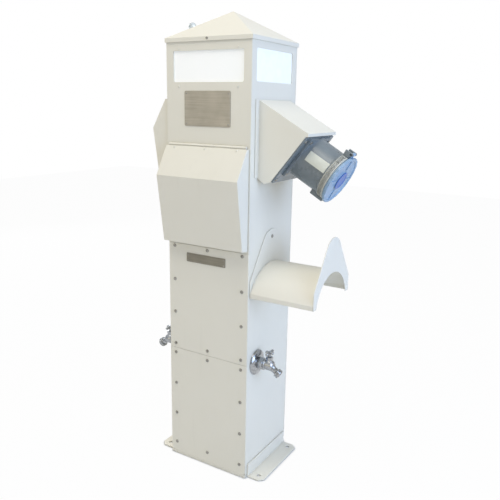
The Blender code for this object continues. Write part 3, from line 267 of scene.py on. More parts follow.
for node in ("roof_cap", "front_head_sheet", "front_access_panel_upper", "front_access_panel_lower",
             "front_sill", "rear_head_sheet", "rear_access_panel_upper", "rear_access_panel_lower",
             "rear_sill", "side_channel_right", "side_channel_left", "breaker_cover", "outlet_cover",
             "outlet_housing", "hose_rack_saddle", "hose_rack_inner_flange", "hose_rack_outer_flange",
             "base_angle_right", "base_angle_left", "lamp_tray"):
    merged_copy(node, "coated_" + node, FOLD_RADIUS, COAT_WHITE)


# ------------------------------------------------------------------ Panel screws
# Stainless pan-head screws, cross recessed, hold the panels, lenses, cap and brackets to the folded post.
# Those of the panels stand in straight rows a thumb's width in from each edge. The lens screws are smaller
# and were coated in place with the head.
SCREW_HEAD = 0.0046
SCREW_RISE = 0.0024
SCREW_SINK = 0.0004
SCREW_STEPS = 16


def bare_metal(name, roughness, colour, rubbed="#B4B2AC"):
    """Bare or plated metal, such as stainless steel, a little dulled outdoors: fully metallic, with an
    uneven polish in spots about 6 mm across, and paler where it is rubbed."""
    material, tree = new_material(name)
    coords = add_node(tree, "TexCoord").outputs["Object"]
    spots = add_node(tree, "TexNoise", Vector=coords, Scale=160.0, Detail=3.0)
    gloss = add_node(tree, "MapRange", Value=spots, From_Min=0.3, From_Max=0.7,
                     To_Min=roughness - 0.08, To_Max=roughness + 0.12)
    tint = set_ramp(add_node(tree, "ValToRGB", Fac=spots), ((0.3, colour), (0.75, rubbed)))
    shader = add_node(tree, "BsdfPrincipled", Base_Color=tint, Metallic=1.0, Roughness=gloss)
    return finish_material(material, shader)


SCREW_STEEL = bare_metal("stainless_screw_steel", 0.34, "#83817A")


def turned(profile, steps=48):
    """A profile of (radius, height) points carried once round the local Z axis: rows of rings."""
    radius, height = np.asarray(profile, float).T
    angle = np.linspace(0.0, math.tau, steps, endpoint=False)
    ring = np.stack([np.cos(angle), np.sin(angle)], axis=-1)
    flat = radius[:, None, None] * ring[None, :, :]
    tall = np.repeat(height[:, None, None], steps, axis=1)
    return np.concatenate([flat, tall], axis=-1)


def softened(points, reach, steps=3):
    """A line of points whose inner corners are replaced by arcs, each a quadratic curve that starts and
    ends `reach` from the corner, or a third of the shorter side where that is less."""
    points = np.asarray(points, float)
    out = [points[:1]]
    for before, corner, after in zip(points[:-2], points[1:-1], points[2:]):
        back, on = before - corner, after - corner
        step = min(reach, np.linalg.norm(back) / 3, np.linalg.norm(on) / 3)
        start = corner + back / np.linalg.norm(back) * step
        end = corner + on / np.linalg.norm(on) * step
        t = np.linspace(0.0, 1.0, steps + 1)[:, None]
        out.append((1 - t) ** 2 * start + 2 * t * (1 - t) * corner + t ** 2 * end)
    out.append(points[-1:])
    return np.concatenate(out)


def placed(points, origin, x_axis, z_axis):
    """Local points laid out from an origin, with local X and Z along the two axes and Y across them."""
    z_axis = np.asarray(z_axis, float) / np.linalg.norm(z_axis)
    x_axis = np.asarray(x_axis, float) - np.dot(x_axis, z_axis) * z_axis
    x_axis /= np.linalg.norm(x_axis)
    basis = np.stack([x_axis, np.cross(z_axis, x_axis), z_axis])
    return np.asarray(origin, float) + np.asarray(points, float) @ basis


def new_piece(name, grids, material, body, replaced=(), sharp=35.0):
    """One mesh from grids of points. Each grid's rows are closed rings, joined row to row by quads; rows
    that shrink to a point close it, so doubles are merged, and its faces are then turned outwards."""
    points, quads, start = [], [], 0
    for grid in grids:
        rows, count = grid.shape[:2]
        index = start + np.arange(rows * count).reshape(rows, count)
        beside = np.roll(index, -1, axis=1)
        quads.append(np.stack([index[:-1], beside[:-1], beside[1:], index[1:]], axis=-1).reshape(-1, 4))
        points.append(grid.reshape(-1, 3))
        start += rows * count
    mesh = bpy.data.meshes.new(name)
    mesh.from_pydata(np.concatenate(points), [], np.concatenate(quads))
    bm = bmesh.new()
    bm.from_mesh(mesh)
    bmesh.ops.remove_doubles(bm, verts=bm.verts, dist=0.000002)
    bmesh.ops.recalc_face_normals(bm, faces=bm.faces)
    bm.to_mesh(mesh)
    bm.free()
    mesh.materials.append(material)
    mesh.shade_smooth()
    mesh.set_sharp_from_angle(angle=math.radians(sharp))
    piece = bpy.data.objects.new(name, mesh)
    bpy.context.scene.collection.objects.link(piece)
    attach(piece, body)
    if replaced:
        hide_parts(*replaced)
    return piece


def screw_head():
    """A low dome on a short straight edge; the points near its middle drop on every quarter turn, as a
    cross recess."""
    profile = [(0.0, -SCREW_SINK), (SCREW_HEAD, -SCREW_SINK), (SCREW_HEAD, 0.35 * SCREW_RISE),
               (0.92 * SCREW_HEAD, 0.68 * SCREW_RISE), (0.74 * SCREW_HEAD, 0.90 * SCREW_RISE),
               (0.50 * SCREW_HEAD, SCREW_RISE), (0.34 * SCREW_HEAD, SCREW_RISE), (0.0, 0.45 * SCREW_RISE)]
    grid = turned(profile, SCREW_STEPS)
    angle = np.arange(SCREW_STEPS) * math.tau / SCREW_STEPS
    cross = np.abs(np.cos(2 * angle)) > 0.9
    grid[6, cross, 2] = 0.45 * SCREW_RISE
    return grid


def screws_on(centres, outward, name, body, size=1.0, painted=False):
    """A pan head at each centre, standing off the sheet along the outward direction; size scales the head,
    and painted heads were coated along with their sheet."""
    across = (0.0, 0.0, 1.0) if abs(outward[2]) < 0.9 else (1.0, 0.0, 0.0)
    head = screw_head() * size
    grids = [placed(head, centre, across, outward) for centre in centres]
    if painted:
        return new_piece(name, grids, COAT_WHITE, body, sharp=25.0)
    return new_piece(name, grids, SCREW_STEEL, body, sharp=25.0)


PANEL_SCREW_X = 0.108
# The end rows stand this far inside the lower panel's lower and upper edge, then the upper panel's.
PANEL_SCREW_MARGIN = (0.0293, 0.0137, 0.0137, 0.0081)
LENS_SCREW_X = 0.088
LENS_SCREW_MARGIN = 0.0057
LENS_SCREW_SIZE = 0.6
CAP_SCREW_SIZE = 0.7
PANEL_ROWS = 4
CAP_LIP_DOWN = 0.006


def panel_screws(side, facing):
    """Each panel of one side has four screws down both edges and a middle one in its end rows. The lens
    has one in each corner. `facing` is -1 for the front and 1 for the rear."""
    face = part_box(side + "_access_panel_upper")[0 if facing < 0 else 1].y
    centres = []
    for part, low_in, high_in in (("lower", *PANEL_SCREW_MARGIN[:2]), ("upper", *PANEL_SCREW_MARGIN[2:])):
        low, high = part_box(f"{side}_access_panel_{part}")
        for row, z in enumerate(np.linspace(low.z + low_in, high.z - high_in, PANEL_ROWS)):
            centres += [(-PANEL_SCREW_X, face, z), (PANEL_SCREW_X, face, z)]
            if row in (0, PANEL_ROWS - 1):
                centres.append((0.0, face, z))
    screws_on(centres, (0.0, facing, 0.0), f"panel_screws_{side}", "root")
    low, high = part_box("lens_" + side)
    corners = [(x, face, z) for x in (-LENS_SCREW_X, LENS_SCREW_X)
               for z in (low.z + LENS_SCREW_MARGIN, high.z - LENS_SCREW_MARGIN)]
    screws_on(corners, (0.0, facing, 0.0), f"lens_screws_{side}", "root", LENS_SCREW_SIZE, painted=True)


panel_screws("front", -1.0)
panel_screws("rear", 1.0)

low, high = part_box("roof_cap")
lip_z = low.z + CAP_LIP_DOWN
for side, face, facing in (("front", low.y, -1.0), ("rear", high.y, 1.0)):
    screws_on([(0.0, face, lip_z)], (0.0, facing, 0.0), "cap_screw_" + side, "root", CAP_SCREW_SIZE)


# ------------------------------------------------------------------ Lamp and opal lenses
# Four flat panes of opal acrylic sit behind the head's windows and spread the lamp's light; a compact
# fluorescent lamp stands in a porcelain holder on the tray. Unlit, the panes and the lamp carry a faint
# painted glow, so they read as a soft bright white.
OPAL_CLOUD_MM = 30.0


def opal_acrylic(name, colour, glow):
    """Cast opal acrylic, IOR 1.49, glossy, with a little painted glow: emission stands in for daylight
    through the other panes.
    """
    material, tree = new_material(name)
    coords = add_node(tree, "TexCoord").outputs["Object"]
    cloud = add_node(tree, "TexNoise", Vector=coords, Scale=1000.0 / OPAL_CLOUD_MM, Detail=2.0)
    tint = set_ramp(add_node(tree, "ValToRGB", Fac=cloud), ((0.35, colour), (0.65, "#FDFEFE")))
    # The emission is painted light: the panes and the unlit lamp glow though they are no lamp.
    shader = add_node(tree, "BsdfPrincipled", Base_Color=tint, Roughness=0.22, IOR=1.49,
                      Subsurface_Weight=0.25, Subsurface_Radius=(0.004, 0.004, 0.004),
                      Emission_Color=linear("#F8FDFF"), Emission_Strength=glow)
    return finish_material(material, shader)


OPAL = opal_acrylic("opal_acrylic", "#F8FBFA", 0.12)
LAMP_GLASS = opal_acrylic("opal_lamp_glass", "#F3F3EC", 0.05)


def finish_node(node, material):
    """Gives a solid that already has its right shape its finish."""
    for slot in frame["nodes"][node].material_slots:
        slot.material = material


for side in ("front", "rear", "left", "right"):
    finish_node("lens_" + side, OPAL)
finish_node("lamp", LAMP_GLASS)

# ------------------------------------------------------------------ Photocell
# A dusk switch in a clear dome stands on a short threaded stem near the cap's front left corner.
def clear_polycarbonate(name):
    """Moulded clear polycarbonate, IOR 1.585: what shows is its bright edge and pale inside, under a
    film of fine dust that dulls its gloss in spots about 2 mm across."""
    material, tree = new_material(name)
    coords = add_node(tree, "TexCoord").outputs["Object"]
    dust = add_node(tree, "TexNoise", Vector=coords, Scale=500.0, Detail=2.0)
    gloss = add_node(tree, "MapRange", Value=dust, To_Min=0.04, To_Max=0.22)
    shader = add_node(tree, "BsdfPrincipled", Base_Color=linear("#E9F2F7"), IOR=1.585, Roughness=gloss,
                      Transmission_Weight=0.55)
    return finish_material(material, shader)


CLEAR_DOME = clear_polycarbonate("clear_polycarbonate")
finish_node("photocell", CLEAR_DOME)

# ------------------------------------------------------------------ Nameplate and identity plate
# Two thin anodised aluminium plates, riveted at their corners: a large one on the head and a narrow one
# under the front cover. Each has a fine raised border and a plain satin field.
PLATE_EASE = 0.0002
BORDER_INSET = 0.0032
BORDER_WIDTH = 0.0012
BORDER_RISE = 0.00025
RIVET = 0.0021
RIVET_RISE = 0.0009


def anodised(name, dark, pale, roughness):
    """Satin anodised aluminium, brushed along the plate before it was dipped: fine lines under a dull
    sheen, with lines drawn coarser than the real brushing so that they show."""
    material, tree = new_material(name)
    coords = add_node(tree, "TexCoord").outputs["Object"]
    drawn = add_node(tree, "Mapping", Vector=coords, Scale=(12.0, 12.0, 900.0))
    lines = add_node(tree, "TexNoise", Vector=drawn, Scale=1.0, Detail=3.0)
    cloud = add_node(tree, "TexNoise", Vector=coords, Scale=28.0, Detail=3.0)
    both = add_node(tree, "Mix", {"data_type": "FLOAT"}, Factor=0.45, i2=lines, i3=cloud)
    tint = set_ramp(add_node(tree, "ValToRGB", Fac=both), ((0.36, dark), (0.64, pale)))
    gloss = add_node(tree, "MapRange", Value=cloud, To_Min=roughness - 0.06, To_Max=roughness + 0.08)
    bump = add_node(tree, "Bump", Strength=0.12, Distance=0.0001, Height=lines)
    shader = add_node(tree, "BsdfPrincipled", Base_Color=tint, Metallic=0.35, Roughness=gloss, Normal=bump)
    return finish_material(material, shader)


def rounded_outline(half_x, half_y, radius, corner_steps=6):
    """A rectangle's outline with quarter-circle corners, anticlockwise from its right side."""
    radius = min(radius, half_x, half_y)
    t = np.linspace(0.0, math.pi / 2, corner_steps)
    corner = np.stack([np.cos(t), np.sin(t)], axis=-1) * radius
    swapped = corner[:, ::-1]
    turns = ((1, 1, corner), (-1, 1, swapped * (-1, 1)), (-1, -1, -corner), (1, -1, swapped * (1, -1)))
    centre = np.array([half_x - radius, half_y - radius])
    return np.concatenate([centre * (sx, sy) + points for sx, sy, points in turns])


def pressed(half_x, half_y, radius, profile, corner_steps=6):
    """Rings of a rounded rectangle, each drawn in from the edge by the profile's first number and set at
    the height of its second; an inset of None closes the ring to the middle."""
    rings = []
    for inset, height in profile:
        if inset is None:
            flat = np.zeros((4 * corner_steps, 2))
        else:
            flat = rounded_outline(half_x - inset, half_y - inset, max(radius - inset, 0.0002), corner_steps)
        rings.append(np.column_stack([flat, np.full(len(flat), height)]))
    return np.stack(rings)


def plate_profile(sheet):
    """Back, edge, field, raised border, field again: (inset, height)."""
    low, high, raised = BORDER_INSET, BORDER_INSET + BORDER_WIDTH, sheet + BORDER_RISE
    return ((None, 0.0), (0.0, 0.0), (0.0, sheet - PLATE_EASE), (PLATE_EASE, sheet), (low, sheet),
            (low + PLATE_EASE, raised), (high - PLATE_EASE, raised), (high, sheet), (None, sheet))


def rivet_grid():
    """A quarter ellipse turned round its axis, with a short edge that sinks into the plate."""
    angle = np.linspace(math.pi / 2, 0.0, 5)
    dome = np.column_stack([RIVET * np.cos(angle), RIVET_RISE * np.sin(angle)])
    return turned(np.concatenate([dome, [[RIVET, -PLATE_EASE], [0.0, -PLATE_EASE]]]), 12)


def label_plate(node, material, corner, rivet_in):
    """A bare plate over a front-facing solid's box, with a rivet `rivet_in` from each pair of edges."""
    low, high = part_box(node)
    half_x, half_z = (high.x - low.x) / 2, (high.z - low.z) / 2
    centre = np.array([(high.x + low.x) / 2, high.y, (high.z + low.z) / 2])
    sheet = high.y - low.y
    plate = placed(pressed(half_x, half_z, corner, plate_profile(sheet)), centre, (1, 0, 0), (0, -1, 0))
    new_piece("bare_" + node, [plate], material, "root", (node,), sharp=25.0)
    top = centre - (0.0, sheet, 0.0)
    spots = [top + (x, 0.0, z) for x in (rivet_in - half_x, half_x - rivet_in)
             for z in (rivet_in - half_z, half_z - rivet_in)]
    rivets = [placed(rivet_grid(), spot, (1, 0, 0), (0, -1, 0)) for spot in spots]
    new_piece(node + "_rivets", rivets, SCREW_STEEL, "root")


label_plate("nameplate", anodised("anodised_nameplate", "#A49E90", "#B8B1A2", 0.42), 0.004, 0.0062)
label_plate("id_plate", anodised("anodised_id_plate", "#7C776A", "#8F8A7B", 0.42), 0.002, 0.0042)


# ------------------------------------------------------------------ Pin-and-sleeve socket
# The shore-power socket is moulded in slate-coloured glass-filled polyester: a square flange, a barrel and a
# pale grip collar, bolted to the housing's angled plate. A blue lid with a turning lock ring shuts its mouth.
SOCKET_TILT = math.radians(30.0)
SOCKET_CARRIER_MIDDLE = 0.03665
SOCKET_BODY = 0.0575
SOCKET_SHOULDER = 0.084
SOCKET_COLLAR = 0.060
SOCKET_MOUTH = 0.100
SOCKET_BORE = 0.046
SOCKET_FLOOR = 0.018
SOCKET_FLANGE_HALF = 0.059
SOCKET_FLANGE_RISE = 0.006
SOCKET_STEPS = 96
COLLAR_RIBS = 32
RIB_DEPTH = 0.0008

# The socket looks 30 degrees below level: `along` runs out of its mouth and `rise` up across it. The plate
# that it is bolted to is steeper: `plate_up` lies in its slope and `plate_out` stands square to it.
along = np.array([math.cos(SOCKET_TILT), 0.0, -math.sin(SOCKET_TILT)])
rise = np.array([math.sin(SOCKET_TILT), 0.0, math.cos(SOCKET_TILT)])
low, high = (np.array(corner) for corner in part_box("contact_carrier"))
socket_origin = (low + high) / 2 - along * SOCKET_CARRIER_MIDDLE
PLATE_SLOPE = math.radians(51.022)
plate_up = np.array([math.cos(PLATE_SLOPE), 0.0, math.sin(PLATE_SLOPE)])
plate_out = np.array([math.sin(PLATE_SLOPE), 0.0, -math.cos(PLATE_SLOPE)])


def moulded(name, colour, shade, roughness, grain_mm=0.9):
    """Moulded plastic, IOR 1.5: a spark-eroded grain, drawn coarser than the real one so that it shows,
    and a slow drift of colour and gloss from handling."""
    material, tree = new_material(name)
    coords = add_node(tree, "TexCoord").outputs["Object"]
    grain = add_node(tree, "TexVoronoi", Vector=coords, Scale=1000.0 / grain_mm)
    drift = add_node(tree, "TexNoise", Vector=coords, Scale=22.0, Detail=4.0, Roughness=0.6)
    tint = set_ramp(add_node(tree, "ValToRGB", Fac=drift), ((0.34, shade), (0.66, colour)))
    gloss = add_node(tree, "MapRange", Value=drift, From_Min=0.3, From_Max=0.7,
                     To_Min=roughness - 0.06, To_Max=roughness + 0.08)
    bump = add_node(tree, "Bump", Strength=0.10, Distance=0.0001, Height=grain)
    shader = add_node(tree, "BsdfPrincipled", Base_Color=tint, IOR=1.5, Roughness=gloss, Normal=bump)
    return finish_material(material, shader)


SLATE_POLYESTER = moulded("glass_filled_polyester_slate", "#767F83", "#687176", 0.28)
COLLAR_NYLON = moulded("moulded_nylon_pale_grey", "#CDCDC4", "#BFC0B8", 0.40)
LID_BLUE = moulded("moulded_nylon_blue", "#90ACC6", "#839FBA", 0.33)
CAP_BLUE = moulded("moulded_nylon_deep_blue", "#3468B6", "#2B5CA8", 0.28)
BLACK_PHENOLIC = moulded("moulded_phenolic_black", "#2B2B2C", "#232324", 0.42)


def socket_placed(points):
    """Local Z runs out along the socket's axis and local X up across its mouth."""
    return placed(points, socket_origin, rise, along)


def ring_above_plate(radius, height):
    """A ring of the barrel's radius whose every point stands the same height above the sloping plate."""
    angle = np.linspace(0.0, math.tau, SOCKET_STEPS, endpoint=False)
    x, y = radius * np.cos(angle), radius * np.sin(angle)
    s = (height - x * np.dot(rise, plate_out)) / np.dot(along, plate_out)
    return np.column_stack([x, y, s])[None]


foot = [ring_above_plate(radius, height) for radius, height in
        ((0.0, 0.001), (SOCKET_BODY, 0.001), (SOCKET_BODY + 0.0030, SOCKET_FLANGE_RISE),
         (SOCKET_BODY + 0.0012, SOCKET_FLANGE_RISE + 0.0009),
         (SOCKET_BODY + 0.0002, SOCKET_FLANGE_RISE + 0.0032))]
barrel_line = softened([(SOCKET_BODY, 0.0225), (SOCKET_BODY - 0.0006, SOCKET_SHOULDER - 0.004),
                        (SOCKET_BODY + 0.0014, SOCKET_SHOULDER - 0.002),
                        (SOCKET_BODY + 0.0014, SOCKET_SHOULDER),
                        (SOCKET_BORE + 0.006, SOCKET_SHOULDER)], 0.0008)
bore_line = [(SOCKET_BORE + 0.006, SOCKET_MOUTH - 0.0012), (SOCKET_BORE + 0.005, SOCKET_MOUTH - 0.0002),
             (SOCKET_BORE + 0.001, SOCKET_MOUTH - 0.0002), (SOCKET_BORE, SOCKET_MOUTH - 0.0012),
             (SOCKET_BORE, SOCKET_FLOOR), (0.0, SOCKET_FLOOR)]
barrel = np.concatenate(foot + [turned(np.concatenate([barrel_line, bore_line]), SOCKET_STEPS)])
flange = placed(pressed(SOCKET_FLANGE_HALF, SOCKET_FLANGE_HALF, 0.006,
                        ((None, 0.0003), (0.0, 0.0003), (0.0, SOCKET_FLANGE_RISE - 0.0012),
                         (0.0004, SOCKET_FLANGE_RISE - 0.0004), (0.0013, SOCKET_FLANGE_RISE),
                         (None, SOCKET_FLANGE_RISE))), socket_origin, plate_up, plate_out)
new_piece("socket_barrel", [socket_placed(barrel), flange], SLATE_POLYESTER, "root",
          ("socket_body",), sharp=40.0)

collar_line = softened([(SOCKET_BORE + 0.005, SOCKET_SHOULDER), (SOCKET_COLLAR, SOCKET_SHOULDER),
                        (SOCKET_COLLAR, SOCKET_MOUTH), (SOCKET_BORE + 0.005, SOCKET_MOUTH)], 0.0016)
rib_ends = [(SOCKET_COLLAR, SOCKET_SHOULDER + up) for up in (0.0030, 0.0040, 0.0115, 0.0125)]
collar_rows = np.concatenate([collar_line[:4], rib_ends, collar_line[4:], collar_line[:1]])
collar = turned(collar_rows, SOCKET_STEPS * 2)
angle = np.linspace(0.0, math.tau, SOCKET_STEPS * 2, endpoint=False)
groove = 1.0 - RIB_DEPTH / SOCKET_COLLAR * (np.sin(COLLAR_RIBS * angle) > 0.2)
collar[5:7, :, :2] *= groove[None, :, None]
new_piece("socket_collar", [socket_placed(collar)], COLLAR_NYLON, "root", sharp=30.0)

# The lid's hinge ears and the catch lug below stand on the collar.
EAR_NEAR, EAR_FAR = 0.0083, 0.0133
EAR_REACH = 0.0745
EAR_LENGTH = 0.016
PIN_RISE = 0.070
PIN_S = 0.10205
KNUCKLE = 0.0045
CATCH_HALF = 0.016
CATCH_REACH = 0.0672
CATCH_FROM = 0.062


def block(low, high, corner):
    """A rounded block: a pressed rectangle in local X and Y, extruded along local Z with eased ends."""
    low, high = np.array(low), np.array(high)
    half_x, half_y, half_z = (high - low) / 2
    ease = corner / 2
    profile = ((None, -half_z), (ease, -half_z), (0.0, ease - half_z), (0.0, half_z - ease), (ease, half_z),
               (None, half_z))
    return pressed(half_x, half_y, corner, profile, 4) + (low + high) / 2


def cross_rod(radius, x, s, low_y, high_y, steps=24):
    """A short rod across the socket with eased ends, centred at (x, s)."""
    line = softened([(0.0, low_y), (radius, low_y), (radius, high_y), (0.0, high_y)], 0.0004)
    rod = turned(line, steps)
    return np.stack([rod[..., 0] + x, rod[..., 2], rod[..., 1] + s], axis=-1)


ears = []
for side in (-1, 1):
    low_y, high_y = sorted((side * EAR_NEAR, side * EAR_FAR))
    ears.append(socket_placed(block((SOCKET_COLLAR - 0.004, low_y, SOCKET_MOUTH - EAR_LENGTH),
                                    (EAR_REACH, high_y, SOCKET_MOUTH), 0.0012)))
    ears.append(socket_placed(cross_rod(KNUCKLE, PIN_RISE, PIN_S, low_y, high_y)))
ears.append(socket_placed(block((-CATCH_REACH, -CATCH_HALF, CATCH_FROM),
                                (0.010 - SOCKET_COLLAR, CATCH_HALF, SOCKET_MOUTH - 0.0006), 0.0020)))
new_piece("socket_ears_and_catch", ears, SLATE_POLYESTER, "root")
finish_node("lid_hinge_pin", bare_metal("stainless_pin", 0.25, "#9A9892"))

# Lid: a disc with a raised boss, and a ring with finger grips that turns on the boss to lock it.
FIT_GAP = 0.0003
LID_BASE = SOCKET_MOUTH + FIT_GAP
LID_RADIUS = 0.059
LID_SHEET = 0.0035
RING_RADIUS = 0.064
RING_BASE = LID_BASE + LID_SHEET + FIT_GAP
RING_TOP = RING_BASE + 0.006
RING_BORE = 0.020
RING_GRIPS = 20
GRIP_DEPTH = 0.0011
RING_RIBS = 4
RIB_HALF = 0.0022
BOSS_CAP = 0.024
TONGUE_HALF = 0.008

lid_line = softened([
    (0.0, LID_BASE), (LID_RADIUS, LID_BASE), (LID_RADIUS, LID_BASE + LID_SHEET),
    (RING_BORE - FIT_GAP, LID_BASE + LID_SHEET), (RING_BORE - FIT_GAP, RING_TOP + FIT_GAP),
    (0.0, RING_TOP + FIT_GAP)], 0.0008)
lid_grids = [socket_placed(turned(lid_line, SOCKET_STEPS)),
             socket_placed(block((LID_RADIUS - 0.006, -TONGUE_HALF, LID_BASE),
                                 (PIN_RISE, TONGUE_HALF, LID_BASE + LID_SHEET), 0.0008)),
             socket_placed(cross_rod(KNUCKLE, PIN_RISE, PIN_S, -TONGUE_HALF, TONGUE_HALF))]
new_piece("socket_lid_disc", lid_grids, LID_BLUE, "socket_lid", ("socket_lid",), sharp=30.0)
cap_line = softened([(0.0, RING_TOP + FIT_GAP), (BOSS_CAP, RING_TOP + FIT_GAP), (BOSS_CAP, RING_TOP + 0.0015),
                     (BOSS_CAP - 0.004, RING_TOP + 0.0023), (BOSS_CAP - 0.008, RING_TOP + 0.0012),
                     (0.0, RING_TOP + 0.0012)], 0.0009)
new_piece("lid_boss_cap", [socket_placed(turned(cap_line, 64))], CAP_BLUE, "socket_lid")

ring_line = softened([(RING_BORE + FIT_GAP, RING_BASE), (RING_RADIUS, RING_BASE), (RING_RADIUS, RING_TOP),
                      (RING_RADIUS - 0.0065, RING_TOP), (RING_RADIUS - 0.0085, RING_TOP - 0.0024),
                      (RING_BORE + 0.006, RING_TOP - 0.0024), (RING_BORE + 0.0035, RING_TOP),
                      (RING_BORE + FIT_GAP, RING_TOP), (RING_BORE + FIT_GAP, RING_BASE)], 0.0009)
ring = turned(ring_line, SOCKET_STEPS * 2)
radius = np.hypot(ring[..., 0], ring[..., 1])
outer = np.clip((radius - (RING_RADIUS - 0.0035)) / 0.0030, 0.0, 1.0)
grip = 1.0 - outer * GRIP_DEPTH / RING_RADIUS * (np.cos(RING_GRIPS * angle) < -0.35)[None, :]
ring[..., :2] *= grip[..., None]
ribs = []
bar = block((RING_BORE + 0.008, -RIB_HALF, RING_TOP - 0.0030),
            (RING_RADIUS - 0.0075, RIB_HALF, RING_TOP - 0.0004), 0.0010)
for turn in np.arange(RING_RIBS) * math.tau / RING_RIBS:
    ribs.append(socket_placed(placed(bar, (0, 0, 0), (math.cos(turn), math.sin(turn), 0.0), (0, 0, 1))))
new_piece("lid_lock_ring_grip", [socket_placed(ring)] + ribs, LID_BLUE, "lid_lock",
          ("lid_locking_ring",), sharp=30.0)

# Contacts: four brass sleeves in a black phenolic carrier.
CONTACTS = 4
CONTACT_CIRCLE = 0.022
CONTACT_SLEEVE = 0.0048
CONTACT_BORE = 0.0036
CONTACT_TOP = 0.0552
CONTACT_DEEP = 0.0280
finish_node("contact_carrier", BLACK_PHENOLIC)
BRASS = bare_metal("machined_brass", 0.26, "#A98A4B", "#C2A564")
sleeve_line = [(CONTACT_BORE, CONTACT_DEEP), (CONTACT_SLEEVE, CONTACT_DEEP),
               (CONTACT_SLEEVE, CONTACT_TOP - 0.0004), (CONTACT_SLEEVE - 0.0004, CONTACT_TOP),
               (CONTACT_BORE + 0.0005, CONTACT_TOP), (CONTACT_BORE, CONTACT_TOP - 0.0006),
               (CONTACT_BORE, CONTACT_DEEP)]
sleeves = []
for turn in (np.arange(CONTACTS) + 0.5) * math.tau / CONTACTS:
    centre = np.array([CONTACT_CIRCLE * math.cos(turn), CONTACT_CIRCLE * math.sin(turn), 0.0])
    sleeves.append(socket_placed(turned(sleeve_line, 20) + centre))
new_piece("contact_sleeves", sleeves, BRASS, "root")

# The plate between flange and housing, its corner screws, and the flange's own.
merged_copy("socket_plate", "moulded_socket_plate", 0.0009, SLATE_POLYESTER)
FLANGE_SCREW = 0.0500
PLATE_SCREW = (0.0610, 0.0690)
PLATE_MIDDLE_DOWN = 0.0120
spots = []
for start, up, aside in ((socket_origin + plate_out * SOCKET_FLANGE_RISE, FLANGE_SCREW, FLANGE_SCREW),
                         (socket_origin - plate_up * PLATE_MIDDLE_DOWN, *PLATE_SCREW)):
    spots += [start + plate_up * (v * up) + (0.0, w * aside, 0.0) for v in (-1, 1) for w in (-1, 1)]
screws_on(spots, plate_out, "socket_screws", "root")

# Label: a blank polyester sticker on the barrel.
LABEL_STOCK = moulded("printed_polyester_blank", "#D3D4C6", "#C8C9BB", 0.45, 3.0)
finish_node("socket_label", LABEL_STOCK)


# ------------------------------------------------------------------ Hose rack
# A coil of hose hangs over a rolled saddle between two upright plates; the outer plate is arched underneath.
# All three are coated sheet with stitch welds, and three screws hold the inner plate to the post.
RACK_SCREWS = ((0.0, 0.668), (-0.060, 0.535), (0.060, 0.535))
RACK_HEM = 0.012
WELD_BEAD = 0.0013
WELD_SAG = 0.0004
WELD_TIP = 0.0004
WELD_SPREAD, WELD_REACH = 0.72, 0.09
WELD_BEADS = 5
WELD_RIPPLES = 15


def carried(path, radius, steps=12):
    """A round section of the given radius (one number or one for each point) carried along a path. Each
    ring stands square to the path, its first direction kept as near as it can be to one fixed axis."""
    path = np.asarray(path, float)
    radius = np.broadcast_to(np.asarray(radius, float), len(path))
    ahead = np.gradient(path, axis=0)
    ahead /= np.linalg.norm(ahead, axis=1, keepdims=True)
    fixed = np.eye(3)[np.argmin(np.abs(ahead).mean(axis=0))]
    first = fixed - (ahead @ fixed)[:, None] * ahead
    first /= np.linalg.norm(first, axis=1, keepdims=True)
    second = np.cross(ahead, first)
    angle = np.linspace(0.0, math.tau, steps, endpoint=False)
    cos, sin = np.cos(angle)[None, :, None], np.sin(angle)[None, :, None]
    rings = path[:, None, :] + radius[:, None, None] * (cos * first[:, None, :] + sin * second[:, None, :])
    ends = [np.repeat(path[end][None, None, :], steps, axis=1) for end in (0, -1)]
    return np.concatenate([ends[0], rings, ends[1]])


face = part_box("hose_rack_inner_flange")[1].x
screws_on([(face, y, z) for y, z in RACK_SCREWS], (1.0, 0.0, 0.0), "rack_screws", "root")

# Stitch welds along the saddle's two edges. Its arc's radius comes from half its width and its drop.
low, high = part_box("hose_rack_saddle")
drop = high.z - (low.z + RACK_HEM)
arc_radius = (high.y ** 2 + drop ** 2) / (2 * drop)
half_angle = math.asin(high.y / arc_radius)
beads = []
for x in (low.x, high.x):
    for middle in np.linspace(-WELD_SPREAD, WELD_SPREAD, WELD_BEADS) * half_angle:
        t = np.linspace(middle - WELD_REACH, middle + WELD_REACH, WELD_RIPPLES)
        path = [np.full_like(t, x), arc_radius * np.sin(t), high.z - arc_radius + arc_radius * np.cos(t)]
        ripple = WELD_BEAD + WELD_SAG * np.sin(np.arange(WELD_RIPPLES) * 2.1)
        ripple[[0, -1]] = WELD_TIP
        beads.append(carried(np.column_stack(path), ripple, 8))
new_piece("rack_weld_beads", beads, COAT_WHITE, "root", sharp=80.0)

# ------------------------------------------------------------------ Taps
# Chrome-plated brass hose taps, one on each side: a spun bell flange, a hexagon, a ringed barrel with a
# bonnet and gland nut, and a spout with a ribbed hose nozzle. A cross handle turns on the gland.
CHROME = bare_metal("chrome_plated_brass", 0.12, "#94979B", "#B4B7BA")
TAP_PIPE = 0.0105
TAP_HEX = 0.0182
TAP_HEX_FROM, TAP_HEX_TO = 0.0112, 0.0265
TAP_CUP_DEPTH = 0.0120
TAP_BODY = 0.0135
TAP_BODY_END = 0.054
TAP_BONNET_OUT = 0.041
TAP_BONNET = 0.0105
TAP_BONNET_TOP = 0.025
TAP_SPOUT_DROP = math.radians(32.0)
TAP_SPOUT = 0.0105
TAP_NECK = 0.0084
TAP_NOZZLE = 0.0130
TAP_NOZZLE_BORE = 0.007
TAP_NOZZLE_LENGTH = 0.034
TAP_HANDLE_UP = 0.036
TAP_BAR = 0.0045
TAP_BAR_HALF = 0.019
TAP_BAR_ROWS = 25
TAP_CROSS_HALF = 0.0125
TAP_STEM = 0.004
TAP_INLET = 0.058


